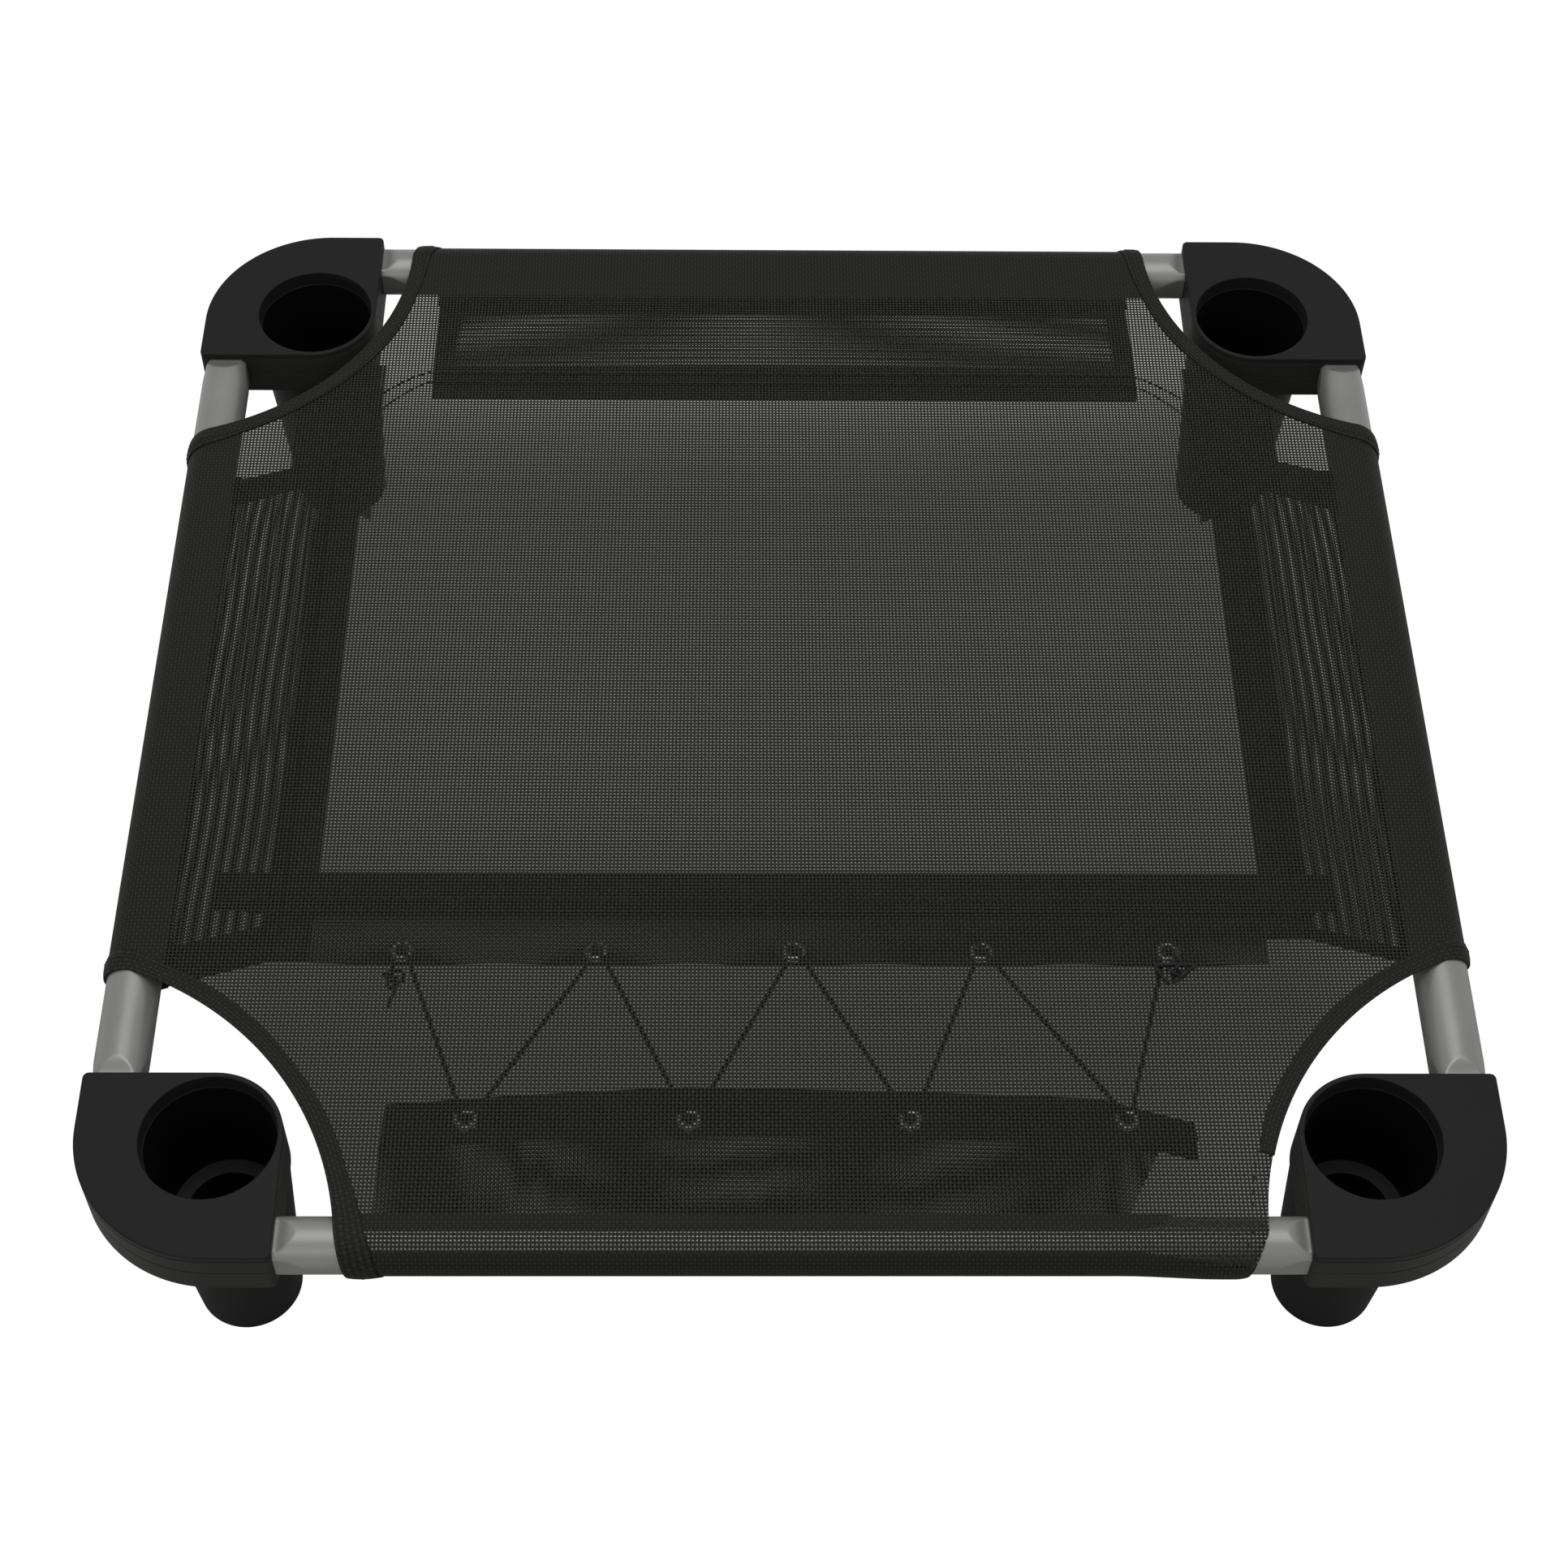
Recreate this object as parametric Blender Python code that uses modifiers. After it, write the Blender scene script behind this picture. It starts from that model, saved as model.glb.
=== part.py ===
"""Dog training cot: four tubes pushed into four moulded corner legs, a mesh cover laced over them.

World frame: origin on the floor under the middle of the cot, +X to the right, +Y to the back,
+Z up, metres. The laced edge of the cover is at the front (-Y).
"""
import math

import bmesh
import bpy
import numpy as np
from mathutils import Matrix, Vector

# Frame
SPAN_X = 0.762            # left tube's axis to right tube's axis
SPAN_Y = 0.762            # front tube's axis to back tube's axis
HEIGHT = 0.177            # floor to the top of a leg's plate
TUBE_DROP = 0.0173        # plate's top down to the tubes' axes
TUBE_RADIUS = 0.015875
TUBE_WALL = 0.0015
PRESS_TOP = 0.0040        # how far a tube's end is pressed flat on top
PRESS_SIDE = 0.0023       # and on either side
PRESS_RUN = 0.017         # length of the slope from the round tube to the pressed end

# Corner leg, measured from its cup's axis
CUP_TO_TUBE = 0.0577
CUP_RADIUS = 0.0384
CUP_CHAMFER = 0.0006
CUP_STEP_DEPTH = 0.010
CUP_STEP = 0.0012
WELL_DEPTH = 0.086        # rim down to the ledge that takes the foot of a stacked cot
LEDGE_WIDTH = 0.0085
RIM_WALL = 0.0031
OUTER_ROUND = 0.081
CORNER_ROUND = 0.0035
EDGE_ROUND = 0.0012
HEAD_HEIGHT = 0.035
PLATE_THICK = 0.005
SKIRT_WALL = 0.0025
SOCKET_DEPTH = 0.042
SOCKET_WALL = 0.0029
SOCKET_FLOOR = 0.0004     # how far the socket blocks stop above the skirt's lower edge
PARTING_DEPTH = 0.0005
PARTING_HALF = 0.0005
RIB_THICK = 0.0025
RIB_OFFSET = 0.0130       # the straight ribs' distance from the cup's axis
POST_TOP_RADIUS = 0.0405
POST_WALL = 0.0033
FOOT_RADIUS = 0.0294
FOOT_FLOOR = 0.004
FOOT_ROUND = 0.002

# Mesh cover and its trims. Places along a tube or across the bed are measured in from a tube's axis.
FABRIC = 0.0009
SIDE_FLAP_IN = 0.1620     # front or back tube to the end of a side flap, on the side tube's crest
END_FLAP_IN = 0.1320      # side tube to the end of the front and back flaps
SIDE_TAPER = 0.020        # how much shorter a side flap's half length is at its sewn edge
BACK_TAPER = 0.010
FRONT_TAPER = 0.018
CUT_GAP = 0.0095          # cover's edge to the leg's inner round, along the corner's diagonal
SIDE_SEAM_IN = 0.0815     # side tube to where its flap's return meets the underside of the bed
BACK_SEAM_IN = 0.1150
SEAM_HEM = 0.020          # flat hem beyond the seam
LACE_SEAM_IN = 0.2110     # front tube to the lacing band's lower stitch line
BAND_TOP = 0.0260         # stitch line to the band's upper edge
BAND_DROP = 0.0365        # stitch line to its free edge
BAND_END_IN = 0.0510      # side tube to the band's sewn end
BAND_FREE_IN = 0.1025     # side tube to the end of the band's free edge
FRONT_EDGE_IN = 0.0950    # front tube to the free edge of the front return
BINDING_WIDTH = 0.0120
BINDING = 0.0008
PATCH_INNER_IN = 0.1110   # side tube to a back corner patch's inner edge
PATCH_OUTER_IN = 0.0550
PATCH_BACK_IN = 0.1070    # back tube to where the patch's inner edge meets the back hem
PATCH_FRONT_IN = 0.2310
PATCH_SLANT = 0.017       # how far its front edge slants

# Lacing
GROMMET_RADIUS = 0.0071
GROMMET_HOLE = 0.0036
GROMMET_BARREL = 0.0042
GROMMET_FLANGE = 0.0004
BAND_GROMMETS_X = (-0.2260, -0.1130, 0.0020, 0.1110, 0.2200)
FLAP_GROMMETS_X = (-0.1840, -0.0580, 0.0670, 0.1900)
BAND_GROMMET_INSET = 0.0095
FLAP_GROMMET_INSET = 0.0140
CORD_RADIUS = 0.0015
CORD_TURN = 0.0030        # radius at which the cord turns round a grommet's lip
KNOT_REACH = 0.0185       # grommet's centre to the middle of an end knot
KNOT_SIZE = 0.0021        # a third of the knot's half width
KNOT_RISE = 0.0025
KNOT_CORD = 0.00115       # the cord's radius where it is pulled tight in a knot

GAP = 0.0003              # clearance between pieces that touch
TUBE_SIDES = 24
WRAP_STEPS = 12           # bends of a flap round its tube
BINDING_STEPS = 11        # how many of them the bound edge follows
CUT_STEPS = 14            # straight steps of a corner cut-out
CUP_SIDES = 32
GROMMET_SIDES = 16

# Worked out from the sizes above
KNOT_LOBE = math.acos(1 / 8)                   # where a knot's lobes come nearest to the grommet
TUBE_Z = HEIGHT - TUBE_DROP
HEAD_Z = HEIGHT - HEAD_HEIGHT
INNER_ROUND = CUP_RADIUS + RIM_WALL
PRESSED_HALF = TUBE_RADIUS - PRESS_SIDE
PLATE_EDGE = CUP_TO_TUBE + PRESSED_HALF + GAP + SOCKET_WALL
CUP_X = SPAN_X / 2 - CUP_TO_TUBE
CUP_Y = SPAN_Y / 2 - CUP_TO_TUBE
LEDGE_Z = HEIGHT - WELL_DEPTH
WRAP = TUBE_RADIUS + GAP + FABRIC / 2          # radius of the cover's middle layer on a tube
BED_Z = TUBE_Z + WRAP                          # height of the cover's middle layer on top
BAND_Z = BED_Z - FABRIC - GAP                  # the layer sewn under it
HEM_Z = BAND_Z - FABRIC - GAP                  # and the hems below that one
SIDE_FLAP_HALF = SPAN_Y / 2 - SIDE_FLAP_IN
END_FLAP_HALF = SPAN_X / 2 - END_FLAP_IN
LACE_SEAM_Y = SPAN_Y / 2 - LACE_SEAM_IN        # distances in front of the middle
FRONT_EDGE_Y = SPAN_Y / 2 - FRONT_EDGE_IN
BAND_GROMMET_Y = LACE_SEAM_Y + BAND_DROP - BAND_GROMMET_INSET
FLAP_GROMMET_Y = FRONT_EDGE_Y + FLAP_GROMMET_INSET


def clear_scene():
    for obj in list(bpy.data.objects):
        bpy.data.objects.remove(obj)


def material(name, color, roughness, metallic=0.0):
    mat = bpy.data.materials.new(name)
    mat.use_nodes = True
    shader = mat.node_tree.nodes["Principled BSDF"]
    shader.inputs["Base Color"].default_value = (*color, 1.0)
    shader.inputs["Roughness"].default_value = roughness
    shader.inputs["Metallic"].default_value = metallic
    mat.diffuse_color = (*color, 1.0)
    return mat


def put(name, mesh, mat=None, cutter=False):
    """A new object with that mesh, in the parts' or the cutters' collection."""
    obj = bpy.data.objects.new(name, mesh)
    (CUTTERS if cutter else PARTS).objects.link(obj)
    if cutter:
        obj.hide_render = True
        obj.display_type = "WIRE"
    if mat is not None:
        mesh.materials.clear()
        mesh.materials.append(mat)
    return obj


def mesh_from(name, points, faces):
    mesh = bpy.data.meshes.new(name)
    mesh.from_pydata([tuple(map(float, p)) for p in points], [], faces)
    mesh.validate()
    return mesh


def finished(obj, angle=35.0):
    """The object's evaluated mesh as a plain mesh, smooth but for its sharp edges. The object goes."""
    depsgraph = bpy.context.evaluated_depsgraph_get()
    mesh = bpy.data.meshes.new_from_object(obj.evaluated_get(depsgraph), depsgraph=depsgraph)
    mesh.transform(obj.matrix_world)
    mesh.shade_smooth()
    mesh.set_sharp_from_angle(angle=math.radians(angle))
    bpy.data.objects.remove(obj)
    return mesh


def boolean(obj, other, operation):
    mod = obj.modifiers.new(operation.title(), "BOOLEAN")
    mod.operation = operation
    mod.solver = "EXACT"
    mod.object = other


def turned(name, profile, sides, cutter=True):
    """A solid turned about Z. The profile (radius, height) runs down its outer side, top to bottom."""
    mesh = bpy.data.meshes.new(name)
    count = len(profile)
    closed = [(count - 1, 0)] if profile[0][0] > 0 else []
    edges = [(k, k + 1) for k in range(count - 1)] + closed
    mesh.from_pydata([(r, 0.0, z) for r, z in profile], edges, [])
    obj = put(name, mesh, cutter=cutter)
    screw = obj.modifiers.new("Screw", "SCREW")
    screw.steps = screw.render_steps = sides
    screw.use_merge_vertices = True
    screw.merge_threshold = 0.00001
    return obj


def lofted(name, rings, cutter=True):
    """A closed solid through rings of as many points each, counter-clockwise from above, going up."""
    count = len(rings[0])
    points = [p for ring in rings for p in ring]
    faces = [tuple(range(count))[::-1]]
    for level in range(len(rings) - 1):
        low, high = level * count, (level + 1) * count
        for k in range(count):
            after = (k + 1) % count
            faces.append((low + k, low + after, high + after, high + k))
    faces.append(tuple(range(len(points) - count, len(points))))
    return put(name, mesh_from(name, points, faces), cutter=cutter)


def arc(centre, radius, start, end, steps):
    """Points on an arc, angles in degrees."""
    return [(centre[0] + radius * math.cos(math.radians(a)), centre[1] + radius * math.sin(math.radians(a)))
            for a in np.linspace(start, end, steps + 1)]


def head_outline(inset, z):
    """Plan of a leg's head, drawn in by inset. Its cup is at the origin and the cot's corner at +X +Y."""
    face, edge = INNER_ROUND - inset, PLATE_EDGE - inset
    small = max(CORNER_ROUND - inset, 0.0004)
    middle = PLATE_EDGE - OUTER_ROUND
    plan = arc((0, 0), face, 180, 270, 9)
    plan += arc((edge - small, small - face), small, 270, 360, 2)
    plan += arc((middle, middle), OUTER_ROUND - inset, 0, 90, 11)
    plan += arc((small - face, edge - small), small, 90, 180, 2)
    return [(x, y, z) for x, y in plan]


def block(name, low, high):
    """A cutter or builder block between two corners."""
    mesh = bpy.data.meshes.new(name)
    bm = bmesh.new()
    bmesh.ops.create_cube(bm, size=1.0)
    size = [b - a for a, b in zip(low, high)]
    bmesh.ops.scale(bm, vec=size, verts=bm.verts)
    bmesh.ops.translate(bm, vec=[(a + b) / 2 for a, b in zip(low, high)], verts=bm.verts)
    bm.to_mesh(mesh)
    bm.free()
    return put(name, mesh, cutter=True)


def post_radius(z):
    """Outer radius of the tapered post at height z."""
    return FOOT_RADIUS + (POST_TOP_RADIUS - FOOT_RADIUS) * z / HEAD_Z


def tube_section(press, grow=0.0, sides=TUBE_SIDES):
    """Points (across, up) round a tube whose top and sides are pressed flat by that share."""
    radius = TUBE_RADIUS + grow
    half = TUBE_RADIUS - press * PRESS_SIDE + grow
    top = TUBE_RADIUS - press * PRESS_TOP + grow
    angles = 2 * np.pi * (np.arange(sides) + 0.5) / sides
    across = np.clip(radius * np.cos(angles), -half, half)
    up = np.minimum(radius * np.sin(angles), top)
    return across, up


def make_leg_mesh():
    """One moulding for all four corners: skirted head, two tube sockets, cup and tapered post."""
    groove = HEAD_Z + HEAD_HEIGHT / 2
    levels = [(0, HEAD_Z), (0, groove - PARTING_HALF), (PARTING_DEPTH, groove), (0, groove + PARTING_HALF)]
    for turn in (0, 45, 90):
        lean = math.radians(turn)
        levels.append((EDGE_ROUND * (1 - math.cos(lean)), HEIGHT - EDGE_ROUND * (1 - math.sin(lean))))
    leg = lofted("leg_body", [head_outline(inset, z) for inset, z in levels])

    under = HEAD_Z - 0.01
    cavity = lofted("cavity", [head_outline(SKIRT_WALL, z) for z in (under, HEIGHT - PLATE_THICK)])
    boolean(leg, cavity, "DIFFERENCE")

    inside = HEIGHT - PLATE_THICK / 2
    post = turned("post", [(0, inside), (INNER_ROUND - 0.0004, inside), (POST_TOP_RADIUS, HEAD_Z - 0.0004),
                           (post_radius(FOOT_ROUND), FOOT_ROUND),
                           (post_radius(0) - 0.3 * FOOT_ROUND, 0.3 * FOOT_ROUND),
                           (FOOT_RADIUS - FOOT_ROUND, 0), (0, 0)], CUP_SIDES)
    boolean(leg, post, "UNION")

    near = CUP_RADIUS + RIM_WALL / 2
    far = PLATE_EDGE - SKIRT_WALL / 2
    stop = SOCKET_DEPTH - INNER_ROUND + GAP + SOCKET_WALL
    low, high = HEAD_Z + SOCKET_FLOOR, inside
    start = -INNER_ROUND + SKIRT_WALL / 2
    boolean(leg, block("socket_x", (start, near, low), (stop, far, high)), "UNION")
    boolean(leg, block("socket_y", (near, start, low + 0.0001), (far, stop, high)), "UNION")

    root, rib_low, rib_high = CUP_RADIUS + RIM_WALL / 2, HEAD_Z + 3 * SKIRT_WALL, inside - 0.0005
    corner = math.sqrt(2) * (PLATE_EDGE - OUTER_ROUND) + OUTER_ROUND
    ribs = [("rib", root, corner, 0, 45), ("rib_x", root * 0.95, PLATE_EDGE, RIB_OFFSET, 0),
            ("rib_y", root * 0.95, PLATE_EDGE, -RIB_OFFSET, 90)]
    for name, start, end, offset, turn in ribs:
        rib = block(name, (start, offset - RIB_THICK / 2, rib_low),
                    (end - SKIRT_WALL / 2, offset + RIB_THICK / 2, rib_high))
        rib.rotation_euler.z = math.radians(turn)
        boolean(leg, rib, "UNION")

    well_top, well_low = HEAD_Z, LEDGE_Z
    core = post_radius(well_low) - POST_WALL - LEDGE_WIDTH
    above = HEIGHT + 0.004
    cup = turned("cup", [(0, above), (CUP_RADIUS + CUP_CHAMFER, above), (CUP_RADIUS + CUP_CHAMFER, HEIGHT),
                         (CUP_RADIUS, HEIGHT - 2 * CUP_CHAMFER), (CUP_RADIUS, HEIGHT - CUP_STEP_DEPTH),
                         (CUP_RADIUS - CUP_STEP, HEIGHT - CUP_STEP_DEPTH - 0.0008),
                         (post_radius(well_top) - POST_WALL, well_top),
                         (post_radius(well_low) - POST_WALL, well_low),
                         (core, well_low), (core, FOOT_FLOOR), (0, FOOT_FLOOR)], CUP_SIDES)
    boolean(leg, cup, "DIFFERENCE")

    across, up = tube_section(1.0, GAP)
    for axis in (0, 1):
        rings = []
        for along in (-INNER_ROUND - 0.01, SOCKET_DEPTH - INNER_ROUND + GAP):
            if axis == 0:
                rings.append([(along, CUP_TO_TUBE + a, TUBE_Z + u) for a, u in zip(across, up)])
            else:
                rings.append([(CUP_TO_TUBE - a, along, TUBE_Z + u) for a, u in zip(across, up)])
        boolean(leg, lofted(f"bore_{'xy'[axis]}", rings), "DIFFERENCE")
    leg.name = "leg_template"
    return finished(leg)


def make_tube(name, length, mat):
    """A steel tube along X, pressed flat on top and at the sides where its ends enter the sockets."""
    press = [(0.0, 1.0), (SOCKET_DEPTH + 0.001, 1.0)]
    for share in (0.3, 0.55, 0.8, 1.0):
        smooth = share * share * (3 - 2 * share)
        press.append((SOCKET_DEPTH + 0.001 + share * PRESS_RUN, 1.0 - smooth))
    stations = [(-length / 2 + at, amount) for at, amount in press]
    stations += [(length / 2 - at, amount) for at, amount in reversed(press)]
    points, faces = [], []
    for x, amount in stations:
        across, up = tube_section(amount)
        points += [(x, a, u) for a, u in zip(across, up)]
    for ring in range(len(stations) - 1):
        low, high = ring * TUBE_SIDES, (ring + 1) * TUBE_SIDES
        for k in range(TUBE_SIDES):
            after = (k + 1) % TUBE_SIDES
            faces.append((low + k, low + after, high + after, high + k))
    obj = put(name, mesh_from(name, points, faces), mat)
    wall = obj.modifiers.new("Wall", "SOLIDIFY")
    wall.thickness = TUBE_WALL
    wall.offset = -1.0
    obj.data.shade_smooth()
    return obj


def cut_circle():
    """Centre and radius of the corner cut-out: an arc through both crests and past the leg's round."""
    a = Vector((SPAN_X / 2, SIDE_FLAP_HALF))
    diagonal = (INNER_ROUND + CUT_GAP) / math.sqrt(2)
    b = Vector((CUP_X - diagonal, CUP_Y - diagonal))
    c = Vector((END_FLAP_HALF, SPAN_Y / 2))
    ab, ac = b - a, c - a
    d = 2 * (ab.x * ac.y - ab.y * ac.x)
    off = Vector((ac.y * ab.length_squared - ab.y * ac.length_squared,
                  ab.x * ac.length_squared - ac.x * ab.length_squared)) / d
    return a + off, off.length


def cut_arc(steps, outset=0.0):
    """Corner cut-out in the +X +Y quarter, from the side crest to the back crest, moved in by outset."""
    centre, radius = cut_circle()
    start = math.atan2(SIDE_FLAP_HALF - centre.y, SPAN_X / 2 - centre.x)
    end = math.atan2(SPAN_Y / 2 - centre.y, END_FLAP_HALF - centre.x)
    if start < 0:
        start += 2 * math.pi
    if end < 0:
        end += 2 * math.pi
    angles = np.linspace(start, end, steps + 1)
    return [(centre.x + (radius + outset) * math.cos(t), centre.y + (radius + outset) * math.sin(t))
            for t in angles]


def wrap_end(reach, rise):
    """How far the cover goes round a tube before it leaves for a point reach inwards and rise up."""
    distance = math.hypot(reach, rise)
    return math.pi + math.atan2(rise, reach) + math.asin(WRAP / distance)


SIDE_TURN = wrap_end(SIDE_SEAM_IN, HEM_Z - TUBE_Z)
BACK_TURN = wrap_end(BACK_SEAM_IN, HEM_Z - TUBE_Z)
FRONT_TURN = wrap_end(LACE_SEAM_IN, BAND_Z - TUBE_Z)


def turn_steps(turn):
    """Angles at which a flap bends round its tube, from the crest to where it leaves the tube."""
    return np.linspace(0, turn, WRAP_STEPS + 1)


def on_tube(turn, lift=0.0):
    """(outward, z) from a tube's axis on the cover's middle layer, turned outwards from its crest."""
    radius = WRAP + lift
    return radius * math.sin(turn), TUBE_Z + radius * math.cos(turn)


def lace_plane(y, lift=0.0):
    """Point (y, z) of the lacing's plane at distance y in front of the middle, lifted square to it."""
    out, z = on_tube(FRONT_TURN)
    start = (SPAN_Y / 2 + out, z)
    slope = math.atan2(BAND_Z - z, start[0] - LACE_SEAM_Y)
    height = BAND_Z - (y - LACE_SEAM_Y) * math.tan(slope)
    return y + lift * math.sin(-slope), height + lift * math.cos(slope), slope


def flap_columns(side):
    """Columns (outward from the middle, z, half length) of a flap from the crest to its sewn edge."""
    if side == "front":
        span, turn, half, taper = SPAN_Y / 2, FRONT_TURN, END_FLAP_HALF, FRONT_TAPER
        ends = [lace_plane(FRONT_EDGE_Y)[:2]]
    elif side == "back":
        span, turn, half, taper = SPAN_Y / 2, BACK_TURN, END_FLAP_HALF, BACK_TAPER
        ends = [(span - BACK_SEAM_IN, HEM_Z), (span - BACK_SEAM_IN - SEAM_HEM, HEM_Z)]
    else:
        span, turn, half, taper = SPAN_X / 2, SIDE_TURN, SIDE_FLAP_HALF, SIDE_TAPER
        ends = [(span - SIDE_SEAM_IN, HEM_Z), (span - SIDE_SEAM_IN - SEAM_HEM, HEM_Z)]
    columns = []
    for angle in turn_steps(turn)[1:]:
        out, z = on_tube(angle)
        columns.append((span + out, z, half - taper * angle / turn))
    return columns + [(at, z, half - taper) for at, z in ends]


def make_cover(mat):
    """The whole mesh cover as one sheet: flat bed, flaps round the four tubes and their returns."""
    quarter = cut_arc(CUT_STEPS)
    plan = []
    for sx, sy in ((1, 1), (-1, 1), (-1, -1), (1, -1)):
        corner = [(sx * x, sy * y) for x, y in quarter]
        plan += corner if sx * sy > 0 else corner[::-1]
    points = [(x, y, BED_Z) for x, y in plan]
    faces = [tuple(range(len(points)))]
    last = len(quarter) - 1
    crest = {"right": (0, 4 * last + 3), "back": (last, last + 1),
             "left": (2 * last + 1, 2 * last + 2), "front": (3 * last + 2, 3 * last + 3)}
    turns = {"right": (1, 0), "left": (-1, 0), "back": (0, 1), "front": (0, -1)}
    for name, (dx, dy) in turns.items():
        a, b = crest[name]
        for at, z, half in flap_columns("side" if dx else name):
            new = len(points)
            for near in (a, b):
                sign = math.copysign(1, points[near][1] if dx else points[near][0])
                points.append((dx * at, sign * half, z) if dx else (sign * half, dy * at, z))
            faces.append((a, b, new + 1, new))
            a, b = new, new + 1
    mesh = mesh_from("mesh_cover", points, faces)
    bm = bmesh.new()
    bm.from_mesh(mesh)
    bmesh.ops.recalc_face_normals(bm, faces=bm.faces)
    top = max(bm.faces, key=lambda f: f.calc_area())
    if top.normal.z < 0:
        bmesh.ops.reverse_faces(bm, faces=bm.faces)
    bm.to_mesh(mesh)
    bm.free()
    cover = put("mesh_cover", mesh, mat)
    cloth = cover.modifiers.new("Cloth", "SOLIDIFY")
    cloth.thickness = FABRIC
    cloth.offset = 0.0
    cloth.use_even_offset = True
    for number, x in enumerate(FLAP_GROMMETS_X, 1):
        boolean(cover, eyelet_hole(f"flap_hole_{number}", x, FLAP_GROMMET_Y), "DIFFERENCE")
    return cover


def wrapped(x, y, lift):
    """A point of the flat pattern put on the cover, lifted off its middle layer."""
    for at, span, horizontal in ((x, SPAN_X / 2, True), (y, SPAN_Y / 2, False)):
        if abs(at) > span:
            out, z = on_tube((abs(at) - span) / WRAP, lift)
            placed = math.copysign(span + out, at)
            return (placed, y, z) if horizontal else (x, placed, z)
    return x, y, BED_Z + lift


def make_binding(name, sx, sy, mat):
    """The bound edge of one corner: a strip that follows the cut-out and goes on round both tubes."""
    outer, inner = [], []
    for turn in turn_steps(SIDE_TURN)[BINDING_STEPS:0:-1]:
        half = SIDE_FLAP_HALF - SIDE_TAPER * turn / SIDE_TURN
        outer.append((SPAN_X / 2 + turn * WRAP, half))
        inner.append((SPAN_X / 2 + turn * WRAP, half - BINDING_WIDTH))
    outer += cut_arc(CUT_STEPS)
    inner += [(SPAN_X / 2, SIDE_FLAP_HALF - BINDING_WIDTH), *cut_arc(CUT_STEPS, BINDING_WIDTH)[1:-1],
              (END_FLAP_HALF - BINDING_WIDTH, SPAN_Y / 2)]
    end_turn, end_taper = (BACK_TURN, BACK_TAPER) if sy > 0 else (FRONT_TURN, FRONT_TAPER)
    for turn in turn_steps(end_turn)[1:BINDING_STEPS + 1]:
        half = END_FLAP_HALF - end_taper * turn / end_turn
        outer.append((half, SPAN_Y / 2 + turn * WRAP))
        inner.append((half - BINDING_WIDTH, SPAN_Y / 2 + turn * WRAP))
    lift = FABRIC / 2 + GAP + BINDING / 2
    points = [wrapped(sx * x, sy * y, lift) for x, y in outer + inner]
    count = len(outer)
    faces = []
    for k in range(count - 1):
        quad = (k, k + 1, count + k + 1, count + k)
        faces.append(quad if sx * sy > 0 else quad[::-1])
    obj = put(name, mesh_from(name, points, faces), mat)
    tape = obj.modifiers.new("Tape", "SOLIDIFY")
    tape.thickness = BINDING
    tape.offset = 0.0
    tape.use_even_offset = True
    return obj


def flat_sheet(name, outline, z, mat):
    """A flat piece of cloth from its plan outline."""
    obj = put(name, mesh_from(name, [(x, y, z) for x, y in outline], [tuple(range(len(outline)))]), mat)
    cloth = obj.modifiers.new("Cloth", "SOLIDIFY")
    cloth.thickness = FABRIC
    cloth.offset = 0.0
    return obj


def make_patch(name, sign, mat):
    """Second layer under a back corner, between the back flap's edge and the side sleeve."""
    inner, outer = SPAN_X / 2 - PATCH_INNER_IN, SPAN_X / 2 - PATCH_OUTER_IN
    back, front = SPAN_Y / 2 - PATCH_BACK_IN, SPAN_Y / 2 - PATCH_FRONT_IN
    edge = [p for p in cut_arc(CUT_STEPS, BINDING_WIDTH / 2) if inner < p[0] < outer]
    plan = [(inner + PATCH_SLANT, front - PATCH_SLANT), (outer, front + PATCH_SLANT)]
    plan += edge + [(inner, back), (inner, front)]
    return flat_sheet(name, [(sign * x, y) for x, y in plan][::sign], BAND_Z, mat)


def eyelet_frame(x, front):
    """Place and tilt of a grommet on the lacing's plane, at distance front before the middle."""
    y, z, slope = lace_plane(front)
    return Matrix.Translation((x, -y, z)) @ Matrix.Rotation(slope, 4, "X")


def eyelet_hole(name, x, front):
    reach = 3 * FABRIC
    radius = GROMMET_BARREL + GAP
    hole = turned(name, [(0, reach), (radius, reach), (radius, -reach), (0, -reach)], GROMMET_SIDES)
    hole.matrix_world = eyelet_frame(x, front)
    return hole


def make_band(mat):
    """The lacing band: sewn flat under the bed and caught in the sleeves, its free edge drawn forward."""
    free_y, free_z, _ = lace_plane(LACE_SEAM_Y + BAND_DROP)
    sewn_half, free_half = SPAN_X / 2 - BAND_END_IN, SPAN_X / 2 - BAND_FREE_IN
    plan = [(sewn_half, LACE_SEAM_Y - BAND_TOP, BAND_Z), (sewn_half, LACE_SEAM_Y, BAND_Z),
            (free_half, LACE_SEAM_Y, BAND_Z), (free_half, free_y, free_z)]
    points = [(side * x, -y, z) for x, y, z in plan for side in (-1, 1)]
    faces = [(0, 2, 4, 5, 3, 1), (4, 6, 7, 5)]
    band = put("lacing_band", mesh_from("lacing_band", points, faces), mat)
    cloth = band.modifiers.new("Cloth", "SOLIDIFY")
    cloth.thickness = FABRIC
    cloth.offset = 0.0
    for number, x in enumerate(BAND_GROMMETS_X, 1):
        boolean(band, eyelet_hole(f"band_hole_{number}", x, BAND_GROMMET_Y), "DIFFERENCE")
    return band


def make_grommet_mesh():
    """A two-part eyelet: a barrel between two flanges that clear the cloth."""
    face = FABRIC / 2 + GAP
    rim = face + GROMMET_FLANGE
    profile = [(GROMMET_HOLE, rim), (GROMMET_RADIUS, rim), (GROMMET_RADIUS, face), (GROMMET_BARREL, face),
               (GROMMET_BARREL, -face), (GROMMET_RADIUS, -face), (GROMMET_RADIUS, -rim), (GROMMET_HOLE, -rim)]
    return finished(turned("grommet_template", profile, GROMMET_SIDES, cutter=False))


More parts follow.
